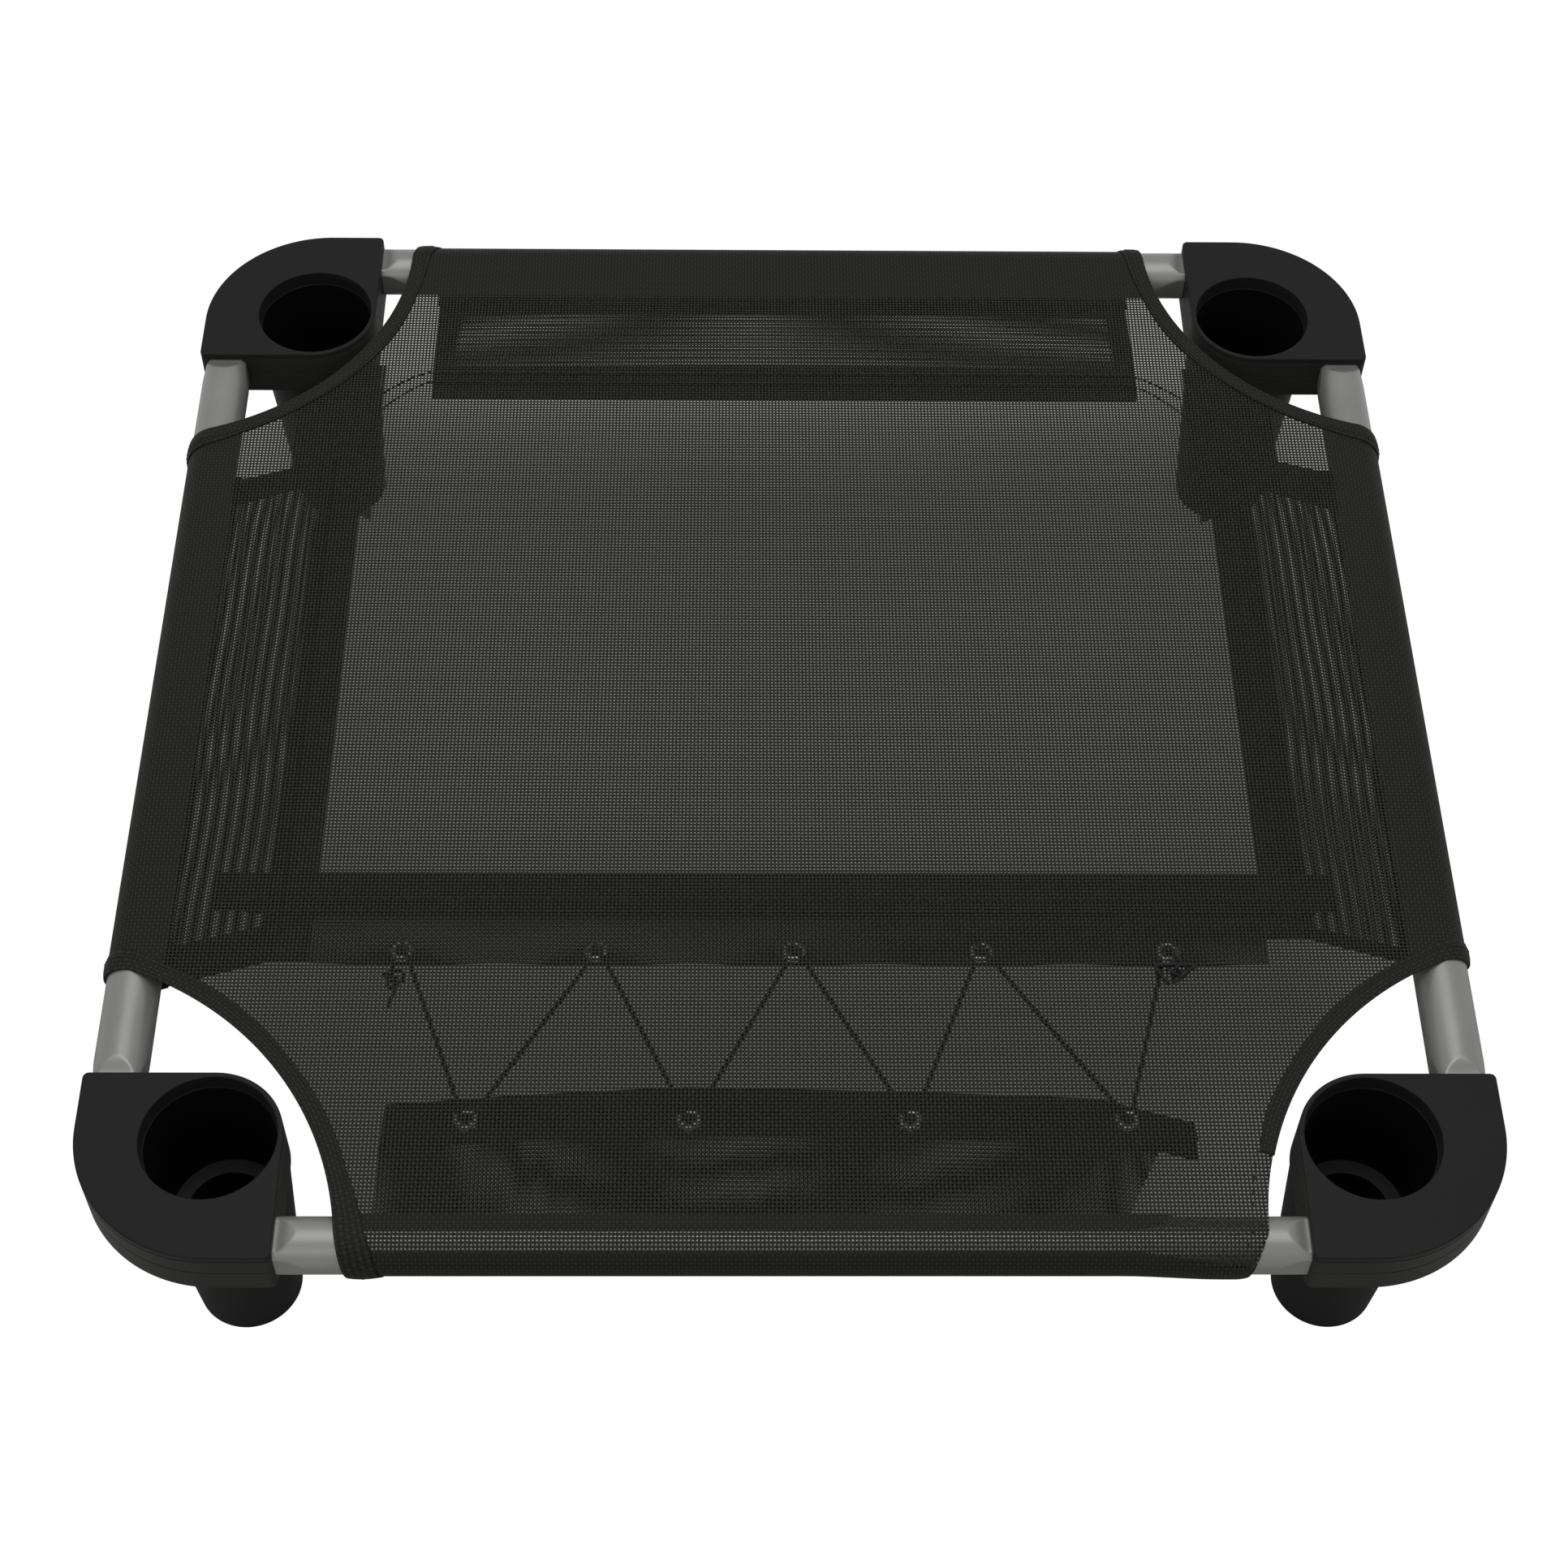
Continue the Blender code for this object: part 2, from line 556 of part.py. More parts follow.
def knot_point(t, side):
    """Point of an end knot, a three-lobed turn, from its grommet. The left one (-1) is under the band."""
    return Vector((side * 2.4 * CORD_RADIUS + KNOT_SIZE * (math.sin(t) + 2 * math.sin(2 * t)),
                   -KNOT_REACH + KNOT_SIZE * (math.cos(t) - 2 * math.cos(2 * t)),
                   side * CORD_TURN - KNOT_RISE * math.sin(3 * t)))


def cord_route():
    """Points of the lacing cord: up through each band grommet, down through each one of the flap."""
    stops = []
    for k, x in enumerate(BAND_GROMMETS_X):
        stops.append((x, BAND_GROMMET_Y, 1))
        if k < len(FLAP_GROMMETS_X):
            stops.append((FLAP_GROMMETS_X[k], FLAP_GROMMET_Y, -1))
    lip = GROMMET_HOLE + GAP
    route = []
    for x, front, rising in stops:
        frame = eyelet_frame(x, front)
        toward = -1 if rising > 0 else 1
        for turn in np.radians([-90, -60, -30, 0, 30, 60, 90]):
            across = 2 * CORD_RADIUS * turn / (math.pi / 2)
            along = toward * (lip - CORD_TURN * math.cos(turn))
            route.append(frame @ Vector((across, along, rising * CORD_TURN * math.sin(turn))))
    seat = Vector((0, KNOT_CORD + GAP, 0))
    first = eyelet_frame(BAND_GROMMETS_X[0], BAND_GROMMET_Y)
    last = eyelet_frame(BAND_GROMMETS_X[-1], BAND_GROMMET_Y)
    route.insert(0, first @ (knot_point(-KNOT_LOBE, -1) + seat))
    route.append(last @ (knot_point(KNOT_LOBE, 1) + seat))
    return route


def cord_curve(name, runs, radius, mat, cyclic=False, resolution=2):
    """A cord as a curve of round section. Each run is one spline of straight steps."""
    curve = bpy.data.curves.new(name, "CURVE")
    curve.dimensions = "3D"
    curve.bevel_depth = radius
    curve.bevel_resolution = resolution
    curve.use_fill_caps = True
    for run in runs:
        spline = curve.splines.new("POLY")
        spline.points.add(len(run) - 1)
        for point, place in zip(spline.points, run):
            point.co = (*place, 1.0)
        spline.use_cyclic_u = cyclic
    curve.materials.append(mat)
    obj = bpy.data.objects.new(name, curve)
    PARTS.objects.link(obj)
    return obj


def make_knot(name, x, side, mat):
    """An end knot: the cord's overhand turns, lying just past the band's free edge."""
    frame = eyelet_frame(x, BAND_GROMMET_Y)
    loop = [frame @ knot_point(t, side) for t in np.linspace(0, 2 * math.pi, 24, endpoint=False)]
    return cord_curve(name, [loop], KNOT_CORD, mat, cyclic=True, resolution=1)


clear_scene()
PARTS = bpy.data.collections.new("Dog_training_cot")
CUTTERS = bpy.data.collections.new("Cutters")
for collection in (PARTS, CUTTERS):
    bpy.context.scene.collection.children.link(collection)

PLASTIC = material("black_plastic", (0.022, 0.022, 0.023), 0.48)
STEEL = material("grey_painted_steel", (0.23, 0.23, 0.22), 0.38, 0.35)
MESH = material("black_mesh", (0.020, 0.020, 0.021), 0.62)
TAPE = material("black_binding", (0.016, 0.016, 0.017), 0.70)
CORD = material("black_cord", (0.015, 0.015, 0.015), 0.80)
NICKEL = material("nickel_grommet", (0.62, 0.62, 0.60), 0.30, 1.0)

leg_mesh = make_leg_mesh()
LEGS = {"back_right_leg": (1, 1, 0), "back_left_leg": (-1, 1, 90),
        "front_left_leg": (-1, -1, 180), "front_right_leg": (1, -1, 270)}
for leg_name, (sx, sy, turn) in LEGS.items():
    corner_leg = put(leg_name, leg_mesh, PLASTIC)
    corner_leg.location = (sx * CUP_X, sy * CUP_Y, 0)
    corner_leg.rotation_euler.z = math.radians(turn)

tube_x = 2 * (CUP_X - INNER_ROUND + SOCKET_DEPTH)
tube_y = 2 * (CUP_Y - INNER_ROUND + SOCKET_DEPTH)
TUBES = {"front_tube": (0, -SPAN_Y / 2, 0, tube_x), "back_tube": (0, SPAN_Y / 2, 0, tube_x),
         "left_tube": (-SPAN_X / 2, 0, 90, tube_y), "right_tube": (SPAN_X / 2, 0, 90, tube_y)}
for tube_name, (x, y, turn, length) in TUBES.items():
    tube = make_tube(tube_name, length, STEEL)
    tube.location = (x, y, TUBE_Z)
    tube.rotation_euler.z = math.radians(turn)

make_cover(MESH)
CORNERS = {"front_left": (-1, -1), "front_right": (1, -1), "back_left": (-1, 1), "back_right": (1, 1)}
for corner_name, (sx, sy) in CORNERS.items():
    make_binding(f"{corner_name}_edge_binding", sx, sy, TAPE)
make_patch("back_left_corner_patch", -1, MESH)
make_patch("back_right_corner_patch", 1, MESH)
make_band(MESH)

grommet_mesh = make_grommet_mesh()
for number, x in enumerate(BAND_GROMMETS_X, 1):
    grommet = put(f"band_grommet_{number}", grommet_mesh, NICKEL)
    grommet.matrix_world = eyelet_frame(x, BAND_GROMMET_Y)
for number, x in enumerate(FLAP_GROMMETS_X, 1):
    grommet = put(f"flap_grommet_{number}", grommet_mesh, NICKEL)
    grommet.matrix_world = eyelet_frame(x, FLAP_GROMMET_Y)

cord_curve("lacing_cord", [cord_route()], CORD_RADIUS, CORD)
make_knot("left_cord_knot", BAND_GROMMETS_X[0], -1, CORD)
make_knot("right_cord_knot", BAND_GROMMETS_X[-1], 1, CORD)
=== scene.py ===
"""Looks of the dog training cot: open weave, sewn edges, twisted lacing, moulded corners, coated tubes.

Metres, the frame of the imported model: origin on the floor under the middle, +X right, +Y back, +Z up.
"""
import math

import bmesh
import bpy
import numpy as np
from mathutils import Matrix, Vector


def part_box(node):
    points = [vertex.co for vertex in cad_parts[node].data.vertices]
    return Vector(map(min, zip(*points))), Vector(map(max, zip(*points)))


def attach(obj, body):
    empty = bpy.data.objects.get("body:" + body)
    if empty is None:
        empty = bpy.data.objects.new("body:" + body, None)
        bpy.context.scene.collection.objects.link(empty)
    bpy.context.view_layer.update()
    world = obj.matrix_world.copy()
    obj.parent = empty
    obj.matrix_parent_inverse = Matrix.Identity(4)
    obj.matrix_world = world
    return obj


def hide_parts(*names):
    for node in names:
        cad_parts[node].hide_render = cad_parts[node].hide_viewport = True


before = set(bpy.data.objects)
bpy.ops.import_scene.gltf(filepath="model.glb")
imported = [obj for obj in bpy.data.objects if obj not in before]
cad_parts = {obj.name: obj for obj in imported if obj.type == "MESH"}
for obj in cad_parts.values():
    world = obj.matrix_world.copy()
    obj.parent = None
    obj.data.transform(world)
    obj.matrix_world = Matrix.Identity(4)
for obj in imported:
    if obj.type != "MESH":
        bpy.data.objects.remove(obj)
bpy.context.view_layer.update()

# Places read from the frame
_low, _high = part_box("right_tube")
AXIS_X = (_low.x + _high.x) / 2           # right tube's axis
TUBE_Z = (_low.z + _high.z) / 2
TUBE_RADIUS = (_high.z - _low.z) / 2
_low, _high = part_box("back_tube")
AXIS_Y = (_low.y + _high.y) / 2
TUBE_END = _high.x
_low, _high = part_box("back_right_leg")
PLATE_OUT, HEIGHT = _high.x, _high.z

# Corner leg, measured from its cup's axis
CUP_TO_TUBE = 0.0577
CUP_RADIUS = 0.0384
STEP_DEPTH = 0.010
STEP = 0.0012
WELL_DEPTH = 0.086
LEDGE_WIDTH = 0.0085
RIM_WALL = 0.0031
OUTER_ROUND = 0.081
CORNER_ROUND = 0.0035
EDGE_ROUND = 0.0010
HEAD_HEIGHT = 0.035
PLATE_LIP = 0.0045                        # plate's top down to the thin line under its edge
PLATE_THICK = 0.005
SKIRT_WALL = 0.0025
SOCKET_DEPTH = 0.042
SOCKET_WALL = 0.0029
SOCKET_SLACK = 0.0003
LINE_DEPTH, LINE_HALF = 0.0010, 0.0006    # thin line under the plate's edge
PARTING_DEPTH, PARTING_HALF = 0.0007, 0.00045
RIB_THICK = 0.0025
RIB_OFFSET = 0.0130
POST_TOP_RADIUS = 0.0405
POST_WALL = 0.0033
FOOT_RADIUS = 0.0294                      # the well's taper is set by it
FOOT_SHOWN = 0.0308                       # post's own at the floor
FOOT_FLOOR = 0.004
FOOT_ROUND = 0.002
LEDGE_ROUND, STEP_ROUND, RIM_ROUND = 0.0008, 0.0006, 0.0009
AXIS_HOLE = 0.001                         # least radius of a turned profile
LAP = 0.0004                              # how far solids lap that are joined
CUP_X, CUP_Y = AXIS_X - CUP_TO_TUBE, AXIS_Y - CUP_TO_TUBE
PLATE_EDGE = PLATE_OUT - CUP_X
HEAD_Z = HEIGHT - HEAD_HEIGHT
LEDGE_Z = HEIGHT - WELL_DEPTH
INNER_ROUND = CUP_RADIUS + RIM_WALL

# Tubes
TUBE_WALL = 0.0015
PRESS_TOP = 0.0040
PRESS_SIDE = 0.0023
PRESS_RUN = 0.012                         # how far the flat on top runs out, and those at the sides
PRESS_SIDE_RUN = 0.020

# Cloth. A place on it is its flat pattern: x and y on the bed, and past a tube the distance over it.
SEAT = 0.00075                            # tube's face to the middle of the cloth
CLOTH = 0.0003
LAYER = 0.0012                            # from one layer sewn under another to the next
WRAP = TUBE_RADIUS + SEAT
BED_Z = TUBE_Z + WRAP
PITCH_X, PITCH_Y = 0.00222, 0.00239       # one hole to the next
# Each corner's cut-out by its side in x and y: where it meets the side tube's crest, in y, and the end
# tube's, in x, and how far it keeps from the leg on the corner's diagonal
CUTS = {(-1, -1): (0.2125, 0.2484, 0.0123), (1, -1): (0.2045, 0.2589, 0.0108),
        (-1, 1): (0.2135, 0.2595, 0.0098), (1, 1): (0.2215, 0.2517, 0.0101)}
SIDE_SEAM = 0.0815                        # seams, from the tubes' axes
BACK_SEAM = 0.1150
LACE_SEAM = 0.2110
FRONT_EDGE = 0.0950
HEM = 0.020
SIDE_FOLD, END_FOLD = 0.026, 0.0220       # how far a hem is turned under
STRIP = 0.0100                            # width of the edge strip on either face
STRIP_UP, STRIP_DOWN = 0.00062, 0.00048   # its middle above and below the cloth's
STRIP_THICK = 0.00032
STRIP_END = 0.334                         # where the front right strip stops, in front of the middle
EDGE_PAST_SIDE, EDGE_PAST_END = 0.070, 0.075          # how far past the crests the strips go
PATCH_X = (0.270, 0.326)                  # back corners' second layer: its sides and its slanted front end
PATCH_FRONT, PATCH_FRONT_LEFT, PATCH_FRONT_RIGHT = 0.133, 0.170, 0.167
PATCH_BACK = 0.107                        # its back end, in from the back tube's axis

# Sewing: rows of stitches by their places on the bed, and stitches by pitch, length and half width
SIDE_ROWS_X, SIDE_ROWS_Y = (-0.306, -0.2975, 0.290, 0.298), (-0.195, 0.185)
BAND_ROWS_Y, BAND_ROWS_X = (-0.1640, -0.1730), (-0.336, 0.320)
BACK_ROWS = ((0.2660, 0.0200), (0.2570, 0.0270))      # y, and how far the row drops past its straight part
BACK_ROWS_X = (-0.2385, 0.2300)
BACK_ROWS_BEYOND = (0.0325, 0.0420)       # how far a row goes on past its straight part, left and right
SEAM_STITCH = (0.0034, 0.0026, 0.00042)
ROW_STITCH = (0.0038, 0.0031, 0.0008)     # the back's two rows
BARE_STITCH = (0.0082, 0.0040, 0.0006)    # at the front right, past the strip's end

# Lacing
GROMMET_RADIUS, GROMMET_HOLE, GROMMET_BARREL = 0.0071, 0.0036, 0.0042
GROMMET_FACE = 0.00075
GROMMET_LIP = 0.0004
BAND_GROMMETS_X = (-0.2260, -0.1130, 0.0020, 0.1110, 0.2200)
FLAP_GROMMETS_X = (-0.1840, -0.0580, 0.0670, 0.1900)
BAND_ABOVE, BAND_DROP = 0.026, 0.0365     # the band behind its seam, and in front
BAND_SEWN_X, BAND_FREE_X = (-0.338, 0.322), (-0.2785, 0.2785)
BAND_INSET, FLAP_INSET = 0.0095, 0.0140
CORD_RADIUS = 0.0015
CORD_TURN = 0.0030
CORD_LAY = 0.0085                         # one turn of its three strands
KNOT_REACH, KNOT_SIZE, KNOT_RISE, KNOT_CORD = 0.0185, 0.0021, 0.0025, 0.00115

# Studio
FLOOR_Z = -0.0003
FILL = 0.42                               # strength of the world's plain light


class Value:
    """A number on a shader's wire. Sums with it add Math nodes."""

    def __init__(self, finish, socket):
        self.finish, self.socket = finish, socket

    def _sum(self, operation, *values):
        return self.finish.node("Math", {"operation": operation}, dict(enumerate(values)))

    def __add__(self, other):
        return self._sum("ADD", self, other)

    def __sub__(self, other):
        return self._sum("SUBTRACT", self, other)

    def __rsub__(self, other):
        return self._sum("SUBTRACT", other, self)

    def __mul__(self, other):
        return self._sum("MULTIPLY", self, other)

    def __truediv__(self, other):
        return self._sum("DIVIDE", self, other)

    __radd__, __rmul__ = __add__, __mul__

    def of(self, operation, *others):
        return self._sum(operation, self, *others)


class Finish:
    """A material on one Principled shader, whose sockets take numbers or wires."""

    def __init__(self, name, color, roughness, **sockets):
        self.material = bpy.data.materials.new(name)
        self.material.use_nodes = True
        tree = self.material.node_tree
        self.nodes, self.links = tree.nodes, tree.links
        self.shader = self.nodes["Principled BSDF"]
        self.set("Base Color", color if isinstance(color, Value) else (*color, 1.0))
        self.set("Roughness", roughness)
        for socket, value in sockets.items():
            self.set(socket.replace("_", " "), value)

    def plug(self, socket, value):
        """Wires a Value to a socket, or sets a constant on it."""
        if isinstance(value, Value):
            self.links.new(value.socket, socket)
        else:
            socket.default_value = value

    def set(self, socket, value):
        self.plug(self.shader.inputs[socket], value)

    def node(self, kind, settings=None, sockets=None, out=0):
        """A new node with its settings and sockets, as the Value of one of its outputs."""
        made = self.nodes.new("ShaderNode" + kind)
        for key, value in (settings or {}).items():
            setattr(made, key, value)
        for key, value in (sockets or {}).items():
            self.plug(made.inputs[key], value)
        return Value(self, made.outputs[out])

    def place(self):
        """Object coordinates."""
        return self.node("TexCoord", out="Object")

    def pattern(self, layer):
        """The piece's own flat pattern, as its two numbers in metres."""
        uv = self.node("UVMap", {"uv_map": layer})
        return [self.node("SeparateXYZ", None, {0: uv}, out=axis) for axis in (0, 1)]

    def noise(self, vector, scale, detail=2.0):
        return self.node("TexNoise", None, {"Vector": vector, "Scale": scale, "Detail": detail})

    def mix(self, share, first, second):
        """Color between first, at 0, and second, at 1."""
        colors = [c if isinstance(c, Value) else (*c, 1.0) for c in (first, second)]
        return self.node("Mix", {"data_type": "RGBA"}, {0: share, 6: colors[0], 7: colors[1]}, out=2)

    def smooth(self, value, low, high):
        """0 below low, 1 above high, with a soft step between."""
        return self.node("MapRange", {"interpolation_type": "SMOOTHSTEP"},
                         {0: value, 1: low, 2: high, 3: 0.0, 4: 1.0})

    def bump(self, height, distance, strength):
        """Grain too fine for the mesh, distance high."""
        sockets = {"Strength": strength, "Distance": distance, "Height": height}
        self.set("Normal", self.node("Bump", None, sockets))


YARN = 0.190                              # half a yarn's width, as a share of the pitch
# The yarn's black, painted darker in the valleys as painted shade and lighter on the crowns as a painted
# highlight
VALLEY_SHADE = (0.0045, 0.0045, 0.0040)
CROWN_HIGHLIGHT = (0.0282, 0.0278, 0.0243)


def weave_finish(name, holes):
    """Coated yarn woven plain. Warp runs along v at every whole u, and weft along u at every whole v.

    A yarn stands highest in its middle. Along it, it rises and dips by a cosine whose sign changes from one
    yarn to the next, so that warp and weft take turns on top. The square between four yarns is a hole.
    Its colour is painted: lighter on each crown as a painted highlight, and darker at a yarn's edges and
    where it dips as painted shade. The warp's painted highlight is the brighter, so its crowns stand out as
    short upright strokes. Cloth that is pressed shut is painted a little darker, as painted shade.
    holes is 1 in open cloth, 0 where it is pressed shut, and "cover" varies it over the cover.
    """
    cloth = Finish(name, CROWN_HIGHLIGHT, 0.6)
    cloth.set("Specular IOR Level", 0.08)
    u, v = cloth.pattern("pattern")
    across, along = u / PITCH_X, v / PITCH_Y
    warp, weft = (across + 0.5).of("FLOOR"), (along + 0.5).of("FLOOR")
    from_warp, from_weft = (across - warp).of("ABSOLUTE"), (along - weft).of("ABSOLUTE")
    warp_wave = (along * math.pi).of("COSINE") * (warp * math.pi).of("COSINE")
    weft_wave = (across * math.pi).of("COSINE") * (weft * math.pi).of("COSINE")
    warp_high = (1 - cloth.smooth(from_warp, 0.05, 0.30)) * (0.58 + warp_wave * 0.42)
    weft_high = (1 - cloth.smooth(from_weft, 0.05, 0.30)) * (0.58 - weft_wave * 0.42)
    height = warp_high.of("MAXIMUM", weft_high)
    # Painted highlight along each yarn's crown, fading to painted shade at its edges and where it dips; the
    # warp's is the brighter
    warp_painted_light = (1 - cloth.smooth(from_warp, 0.08, 0.44)) * (0.5 + warp_wave * 0.5)
    weft_painted_light = (1 - cloth.smooth(from_weft, 0.08, 0.44)) * (0.34 - weft_wave * 0.2)
    tone = warp_painted_light.of("MAXIMUM", weft_painted_light)
    if holes == "cover":
        holes = cover_holes(cloth, u, v)
    if holes != 0:
        reach = (0.5 - YARN) * holes
        rounding = (0.5 - from_warp) * (0.5 - from_weft) * 0.5
        cloth.set("Alpha", 1 - cloth.smooth(reach - rounding - (0.5 - from_warp), -0.02, 0.06)
                  * cloth.smooth(reach - rounding - (0.5 - from_weft), -0.02, 0.06))
    cloth.bump(height, 0.0003, 0.6)
    tint = cloth.noise(cloth.place(), 12.0, 3.0)
    # Painted shade: cloth whose holes are shut is darker; the tint is random tone
    tone = tone * (0.82 + holes * 0.18) * (0.82 + tint * 0.36)
    cloth.set("Base Color", cloth.mix(tone, VALLEY_SHADE, CROWN_HIGHLIGHT))
    cloth.set("Roughness", 0.52 + tint * 0.16)
    return cloth.material


def cover_holes(cloth, u, v):
    """How far the cover's holes are open: shut where it is pressed on a tube, and in every hem.

    On the front tube they stay open in a band on the crest, which widens at the loose right end. Over the
    rest of the front tube they are shut, and the shut cloth's dark colour is painted shade for the tube lying
    in shade beneath.
    """
    aside = u.of("ABSOLUTE")
    past_side = cloth.smooth(aside, AXIS_X - 0.0195, AXIS_X - 0.0170)
    under_side = (cloth.smooth(aside, AXIS_X + 0.066, AXIS_X + 0.070)
                  * (1 - cloth.smooth(aside, AXIS_X + SIDE_SEAM_AT, AXIS_X + SIDE_SEAM_AT + 0.003)))
    past_back = cloth.smooth(v, AXIS_Y - 0.042, AXIS_Y - 0.038)
    under_back = (cloth.smooth(v, AXIS_Y + 0.088, AXIS_Y + 0.092)
                  * (1 - cloth.smooth(v, AXIS_Y + BACK_SEAM_AT, AXIS_Y + BACK_SEAM_AT + 0.003)))
    side_hem = cloth.smooth(v, 0.168, 0.172).of("MAXIMUM", 1 - cloth.smooth(v, -0.182, -0.178))
    back_hem = cloth.smooth(aside, 0.224, 0.228)
    toward = v * -1.0
    # Painted shade: holes shut over the front tube, outside the crest band, where the tube beneath lies in
    # shade
    front_shut_shade = cloth.smooth(toward, AXIS_Y - 0.0115, AXIS_Y - 0.0085)
    front_hem = cloth.smooth(toward, AXIS_Y + lace_over(0.066), AXIS_Y + lace_over(0.070))
    under_front = cloth.smooth(toward, AXIS_Y + 0.055, AXIS_Y + 0.060) * (1 - front_hem)
    right = cloth.smooth(u, 0.185, 0.240)
    band = (cloth.smooth(toward, AXIS_Y - 0.0040 - right * 0.022, AXIS_Y - right * 0.022)
            * (1 - cloth.smooth(toward, AXIS_Y + 0.0110 + right * 0.008, AXIS_Y + 0.0130 + right * 0.008)))
    return ((1 - past_side * (1 - under_side * (1 - side_hem)))
            * (1 - past_back * (1 - under_back * (1 - back_hem)))
            * (1 - front_shut_shade * (1 - band.of("MAXIMUM", under_front * 0.7))))


def plastic_finish():
    """Satin moulded black with a fine grain and the faint lines that its ribs leave in the plate.

    The skirt is painted a lighter, warmer grey than the plate, as painted light. Inside the cup it is painted
    darker as painted shade, less so above its step, and its ledge is lighter.
    """
    plastic = Finish("moulded_black", (0.008, 0.008, 0.008), 0.4)
    plastic.set("Specular IOR Level", 0.07)
    place = plastic.place()
    height = plastic.node("SeparateXYZ", None, {0: place}, out=2)
    grain = plastic.noise(place, 2600.0, 2.0)
    cloudy = plastic.noise(place, 14.0, 3.0)
    u, v = plastic.pattern("plan")
    sink = 0.0
    for distance in (v - RIB_OFFSET, u - RIB_OFFSET, (u - v) * math.sqrt(0.5)):
        sink = sink + (1 - plastic.smooth(distance.of("ABSOLUTE"), 0.0002, 0.0022))
    on_plate = plastic.smooth(height, HEIGHT - 0.0008, HEIGHT - 0.0002)
    plastic.bump(grain * 0.12 - sink * on_plate * 0.22, 0.0002, 0.7)
    # Painted light: the skirt's colour is lighter and warmer than the plate's
    skirt_painted_light = (plastic.smooth(height, HEAD_Z - 0.001, HEAD_Z + 0.001)
             * (1 - plastic.smooth(height, HEIGHT - 0.004, HEIGHT - 0.002)))
    dark = plastic.mix(skirt_painted_light, (0.0100, 0.0100, 0.0100), (0.0175, 0.0169, 0.0148))
    light = plastic.mix(skirt_painted_light, (0.0140, 0.0140, 0.0140), (0.0240, 0.0232, 0.0204))
    wall = FOOT_SHOWN - POST_WALL / 2 + height * ((POST_TOP_RADIUS - FOOT_SHOWN) / HEAD_Z)
    # Painted shade inside the cup, less above its step and none near the rim
    cup = (plastic.smooth(wall - (u * u + v * v).of("SQRT"), 0.0, 0.0004)
           * (1 - 0.38 * plastic.smooth(height, HEIGHT - STEP_DEPTH - 0.0008, HEIGHT - STEP_DEPTH + 0.0004))
           * (1 - plastic.smooth(height, HEIGHT - 0.0035, HEIGHT - 0.0010)))
    cup_painted_shade = cup * plastic.smooth(height, LEDGE_Z + 0.0005, LEDGE_Z + 0.0020)
    ledge = plastic.smooth(height, LEDGE_Z - 0.0012, LEDGE_Z - 0.0004) * cup * (1 - cup_painted_shade)
    shade = plastic.mix(cup_painted_shade, plastic.mix(cloudy, dark, light), (0.0035, 0.0035, 0.0035))
    plastic.set("Base Color", plastic.mix(ledge, shade, (0.0240, 0.0240, 0.0230)))
    plastic.set("Roughness", 0.40 + cloudy * 0.12 + grain * 0.06)
    return plastic.material


def steel_finish():
    """Grey coating on steel, satin, with a fine orange peel and faint clouds in its tone and gloss."""
    steel = Finish("grey_coating", (0.22, 0.22, 0.215), 0.34, Metallic=0.35)
    place = steel.place()
    peel = steel.noise(place, 420.0, 2.0)
    cloudy = steel.noise(place, 22.0, 4.0)
    steel.bump(peel, 0.00008, 0.5)
    steel.set("Base Color", steel.mix(cloudy, (0.166, 0.166, 0.162), (0.222, 0.221, 0.216)))
    steel.set("Roughness", 0.32 + cloudy * 0.12)
    return steel.material


def nickel_finish():
    """Dull nickel plate, clouded by tarnish."""
    nickel = Finish("dulled_nickel", (0.42, 0.42, 0.40), 0.35, Metallic=1.0)
    tarnish = nickel.noise(nickel.place(), 900.0, 3.0)
    nickel.set("Base Color", nickel.mix(tarnish, (0.30, 0.30, 0.285), (0.50, 0.50, 0.48)))
    nickel.set("Roughness", 0.24 + tarnish * 0.25)
    return nickel.material


def thread_finish(name, color):
    """Black sewing thread or cord, dull, with fibres that run round it."""
    thread = Finish(name, color, 0.8)
    thread.set("Specular IOR Level", 0.25)
    fibre = thread.noise(thread.place(), 3200.0, 2.0)
    thread.bump(fibre, 0.0001, 0.6)
    thread.set("Base Color", thread.mix(fibre, [0.6 * c for c in color], [1.5 * c for c in color]))
    return thread.material


def grid_faces(rows, columns, round_rows=False, round_columns=False):
    """Corners of the quads of a grid of points, closed on itself where it is round."""
    row, column = np.meshgrid(np.arange(rows - (not round_rows)), np.arange(columns - (not round_columns)),
                              indexing="ij")
    after_row, after_column = (row + 1) % rows, (column + 1) % columns
    corners = [row * columns + column, row * columns + after_column,
               after_row * columns + after_column, after_row * columns + column]
    return np.stack(corners, axis=-1).reshape(-1, 4)


def patch(points, pattern=None, flip=False, **closing):
    """A grid of points (rows, columns, 3) with its flat pattern, as points, quads and pattern."""
    rows, columns = points.shape[:2]
    faces = grid_faces(rows, columns, **closing)
    if pattern is None:
        pattern = np.zeros((rows, columns, 2))
    return points.reshape(-1, 3), faces[:, ::-1] if flip else faces, pattern.reshape(-1, 2)


def keep_pattern(mesh, layer, pattern):
    """Each vertex's place in the flat pattern, as a UV map."""
    corner = np.empty(len(mesh.loops), int)
    mesh.loops.foreach_get("vertex_index", corner)
    mesh.uv_layers.new(name=layer).data.foreach_set("uv", pattern[corner].astype(np.float32).ravel())


